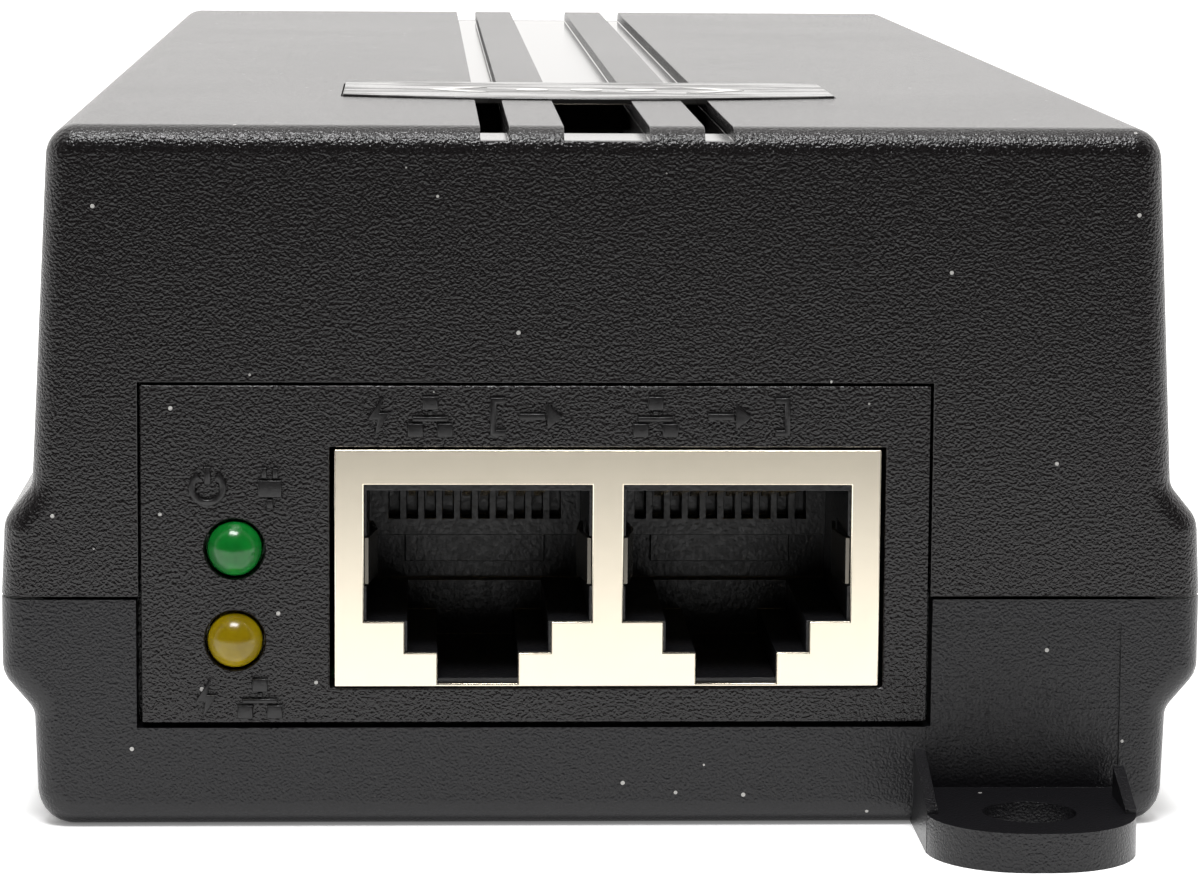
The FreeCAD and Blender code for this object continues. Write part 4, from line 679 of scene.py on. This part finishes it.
# outlines raised from a plane that is given by its turn and centre
def raisedSign(name, outlines, sizes, place, turn, look):
    scaled = [[(x * sizes["scale"], y * sizes["scale"]) for x, y in outline] for outline in outlines]
    mesh = outlineMesh(name, scaled, sizes["depth"], sizes["rim"])
    mesh.transform(Matrix.Translation(place) @ turn)
    piece = link(bpy.data.objects.new(name, mesh))
    skin = bmesh.new()
    skin.from_mesh(mesh)
    bmesh.ops.remove_doubles(skin, verts=skin.verts, dist=mergeGap)
    bmesh.ops.recalc_face_normals(skin, faces=skin.faces)
    skin.to_mesh(mesh)
    skin.free()
    mesh.shade_smooth()
    mesh.set_sharp_from_angle(angle=signSharp)
    setLook(piece, look)
    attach(piece, rootBody)


shieldLow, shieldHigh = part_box("jack_shield")
greenLow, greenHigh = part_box("green_lamp")
amberLow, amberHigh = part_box("amber_lamp")
panelFace = coverLow.y
upright = Matrix.Rotation(math.radians(90), 4, "X")
lampX = (greenLow.x + greenHigh.x) / 2
greenZ = (greenLow.z + greenHigh.z) / 2
amberZ = (amberLow.z + amberHigh.z) / 2
portPitch = 13.97 * mm
jackX = (shieldLow.x + shieldHigh.x) / 2

signs = {
    "scale": 1.15 * mm, "depth": 0.54 * mm, "rim": 0.09 * mm,
    "powerAbove": 3.35 * mm, "boltBelow": 3.15 * mm, "portsAbove": 1.80 * mm,
    "lampShift": 0.3 * mm, "supplyShift": -0.4 * mm, "dataShift": -0.9 * mm,
}
lampSigns = (("powerSigns", powerSign(-1.5) + plugSign(1.4), greenZ + signs["powerAbove"]),
             ("feedSigns", boltSign(-1.6) + networkSign(0.9), amberZ - signs["boltBelow"]))
for name, outlines, height in lampSigns:
    place = Vector((lampX + signs["lampShift"], panelFace, height))
    raisedSign(name, outlines, signs, place, upright, "signPlastic")
portSigns = (
    ("supplyPortSigns", boltSign(-4.3) + networkSign(-1.9) + bracketSign(0.9, 1) + arrowSign(3.0, 1),
     signs["supplyShift"] - portPitch / 2),
    ("dataPortSigns", networkSign(-3.1) + arrowSign(0.1, 1) + bracketSign(3.2, -1),
     signs["dataShift"] + portPitch / 2),
)
for name, outlines, shift in portSigns:
    place = Vector((jackX + shift, panelFace, shieldHigh.z + signs["portsAbove"]))
    raisedSign(name, outlines, signs, place, upright, "signPlastic")

plateLow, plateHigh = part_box("top_label")
emblem = {"scale": 1.55 * mm, "depth": 0.06 * mm, "rim": 0.01 * mm,
          "chevron": 1.5, "thick": 0.8, "spread": 4.6, "dot": 0.62, "dotPitch": 2.1}
reach, thick = emblem["chevron"], emblem["thick"]
emblemOutlines = []
for side in (-1, 1):
    tip, root = side * (emblem["spread"] + reach), side * emblem["spread"]
    emblemOutlines.append([(tip, 0.0), (root, reach), (root - side * thick, reach), (tip - side * thick, 0.0),
                           (root - side * thick, -reach), (root, -reach)])
for spot in (-1, 0, 1):
    emblemOutlines.append(circlePoints(emblem["dot"], (spot * emblem["dotPitch"], 0.0)))
plateTop = Vector(((plateLow.x + plateHigh.x) / 2, (plateLow.y + plateHigh.y) / 2, plateHigh.z))
raisedSign("roofEmblem", emblemOutlines, emblem, plateTop, Matrix.Identity(4), "emblemInk")
print("pictograms raised")


floorLook = {
    "half": 2.5, "color": (0.92, 0.92, 0.92), "rough": 0.6, "glow": 0.50,
    "brightTo": -0.135, "darkFrom": -0.200, "far": 0.03,
    # shade and earShade are boxes of painted contact shadow: under the case, and in the ear's screw hole
    "shade": (0.0325, 0.0715, 1.0), "shadeBorder": 0.004,
    "earCentre": (0.0225, -0.0745, 0.0), "earShade": (0.0045, 0.0050, 1.0), "earBorder": 0.002,
}


# white floor that glows and lights the case only up to a little way in front of it, and not from under it;
# the glow cut away under the case and in the ear's screw hole is a painted contact shadow
def buildFloor():
    mesh = bpy.data.meshes.new("floorPlane")
    half = floorLook["half"]
    corners = [(-half, -half, 0), (half, -half, 0), (half, half, 0), (-half, half, 0)]
    mesh.from_pydata(corners, [], [(0, 1, 2, 3)])
    floor = link(bpy.data.objects.new("floorPlane", mesh))
    material, tree, shader, where = startMaterial("floorWhite", floorLook["color"], floorLook["rough"])
    parts = addNode(tree, "ShaderNodeSeparateXYZ", (-1200, 0))
    tree.links.new(where, parts.inputs[0])
    # away in front of the case the floor's colour and glow fade to dark, except as seen by the camera
    frontFade = rangeNode(tree, (-1050, 0), parts.outputs[1], floorLook["darkFrom"], floorLook["brightTo"],
                      floorLook["far"], 1.0)
    seen = addNode(tree, "ShaderNodeLightPath", (-1250, 250)).outputs["Is Camera Ray"]
    floorWhiteness = mathNode(tree, "MAXIMUM", (-880, 0), frontFade, seen)
    tone = blendColor(tree, (-600, 200), floorWhiteness, (0.0, 0.0, 0.0), floorLook["color"])
    tree.links.new(tone, shader.inputs["Base Color"])
    shader.inputs["Emission Color"].default_value = (1.0, 1.0, 1.0, 1.0)
    # painted contact shadow: no glow under the case or in the ear's screw hole, with soft borders
    shade = useGroup(tree, "box", (-1200, -400), where, Centre=(0.0, 0.0, 0.0), Half=floorLook["shade"],
                     Border=floorLook["shadeBorder"])
    ear = useGroup(tree, "box", (-1200, -650), where, Centre=floorLook["earCentre"],
                   Half=floorLook["earShade"], Border=floorLook["earBorder"])
    paintedShadowMask = mathNode(tree, "MAXIMUM", (-1000, -500), shade.outputs["Mask"], ear.outputs["Mask"])
    lit = mathNode(tree, "SUBTRACT", (-900, -400), 1.0, paintedShadowMask)
    glow = mathNode(tree, "MULTIPLY", (-750, -300), floorWhiteness, lit)
    strength = mathNode(tree, "MULTIPLY", (-600, -200), glow, floorLook["glow"])
    tree.links.new(strength, shader.inputs["Emission Strength"])
    floor.data.materials.append(material)


softbox = {"place": Vector((-0.05, -0.28, 0.72)), "target": Vector((0.0, -0.04, 0.02)),
           "width": 0.34, "height": 0.20, "power": 5.0}


def addSoftbox():
    light = bpy.data.lights.new("overheadSoftbox", "AREA")
    light.shape = "RECTANGLE"
    light.size = softbox["width"]
    light.size_y = softbox["height"]
    light.energy = softbox["power"]
    lamp = link(bpy.data.objects.new("overheadSoftbox", light))
    lamp.location = softbox["place"]
    lamp.rotation_euler = (softbox["target"] - softbox["place"]).to_track_quat("-Z", "Y").to_euler()


skyLook = {"color": (1.0, 0.985, 0.97, 1.0), "behind": 1.45, "front": 0.032,
           "turnLow": -0.38, "turnHigh": 0.45}


# pale surroundings that light the case from behind and the sides, and hardly from the front
def buildSky():
    world = bpy.data.worlds.new("paleStudio")
    scene.world = world
    world.use_nodes = True
    tree = world.node_tree
    back = tree.nodes["Background"]
    where = addNode(tree, "ShaderNodeTexCoord", (-900, 0)).outputs["Generated"]
    parts = addNode(tree, "ShaderNodeSeparateXYZ", (-700, 0))
    tree.links.new(where, parts.inputs[0])
    depth = rangeNode(tree, (-450, 0), parts.outputs[1], skyLook["turnLow"], skyLook["turnHigh"],
                      skyLook["front"], skyLook["behind"])
    seen = addNode(tree, "ShaderNodeLightPath", (-450, -300)).outputs["Is Camera Ray"]
    tree.links.new(blendValue(tree, (-200, 0), seen, depth, skyLook["behind"]), back.inputs["Strength"])
    back.inputs["Color"].default_value = skyLook["color"]


# The view is from just left of the middle, about 234 mm in front of the face and 54 mm up.
viewpoint = {"side": -10.16 * mm, "distance": 234.3 * mm, "height": 54.4 * mm,
             "yaw": 2.41, "pitch": 8.09, "roll": 0.397, "lens": 132.36, "sensor": 36.0, "nearest": 0.01}


def buildCamera():
    camera = bpy.data.cameras.new("viewCamera")
    camera.sensor_width = viewpoint["sensor"]
    camera.lens = viewpoint["lens"]
    camera.clip_start = viewpoint["nearest"]
    holder = link(bpy.data.objects.new("viewCamera", camera))
    yaw, pitch, roll = (math.radians(viewpoint[key]) for key in ("yaw", "pitch", "roll"))
    forward = Vector((math.sin(yaw) * math.cos(pitch), math.cos(yaw) * math.cos(pitch), -math.sin(pitch)))
    right = Vector((math.cos(yaw), -math.sin(yaw), 0.0))
    up = right.cross(forward)
    tiltedRight = right * math.cos(roll) + up * math.sin(roll)
    tiltedUp = up * math.cos(roll) - right * math.sin(roll)
    turn = Matrix((tiltedRight, tiltedUp, -forward)).transposed().to_4x4()
    place = Vector((viewpoint["side"], panelFace - viewpoint["distance"], viewpoint["height"]))
    holder.matrix_world = Matrix.Translation(place) @ turn
    scene.camera = holder


buildFloor()
buildSky()
addSoftbox()
buildCamera()
print("light, floor and camera placed")
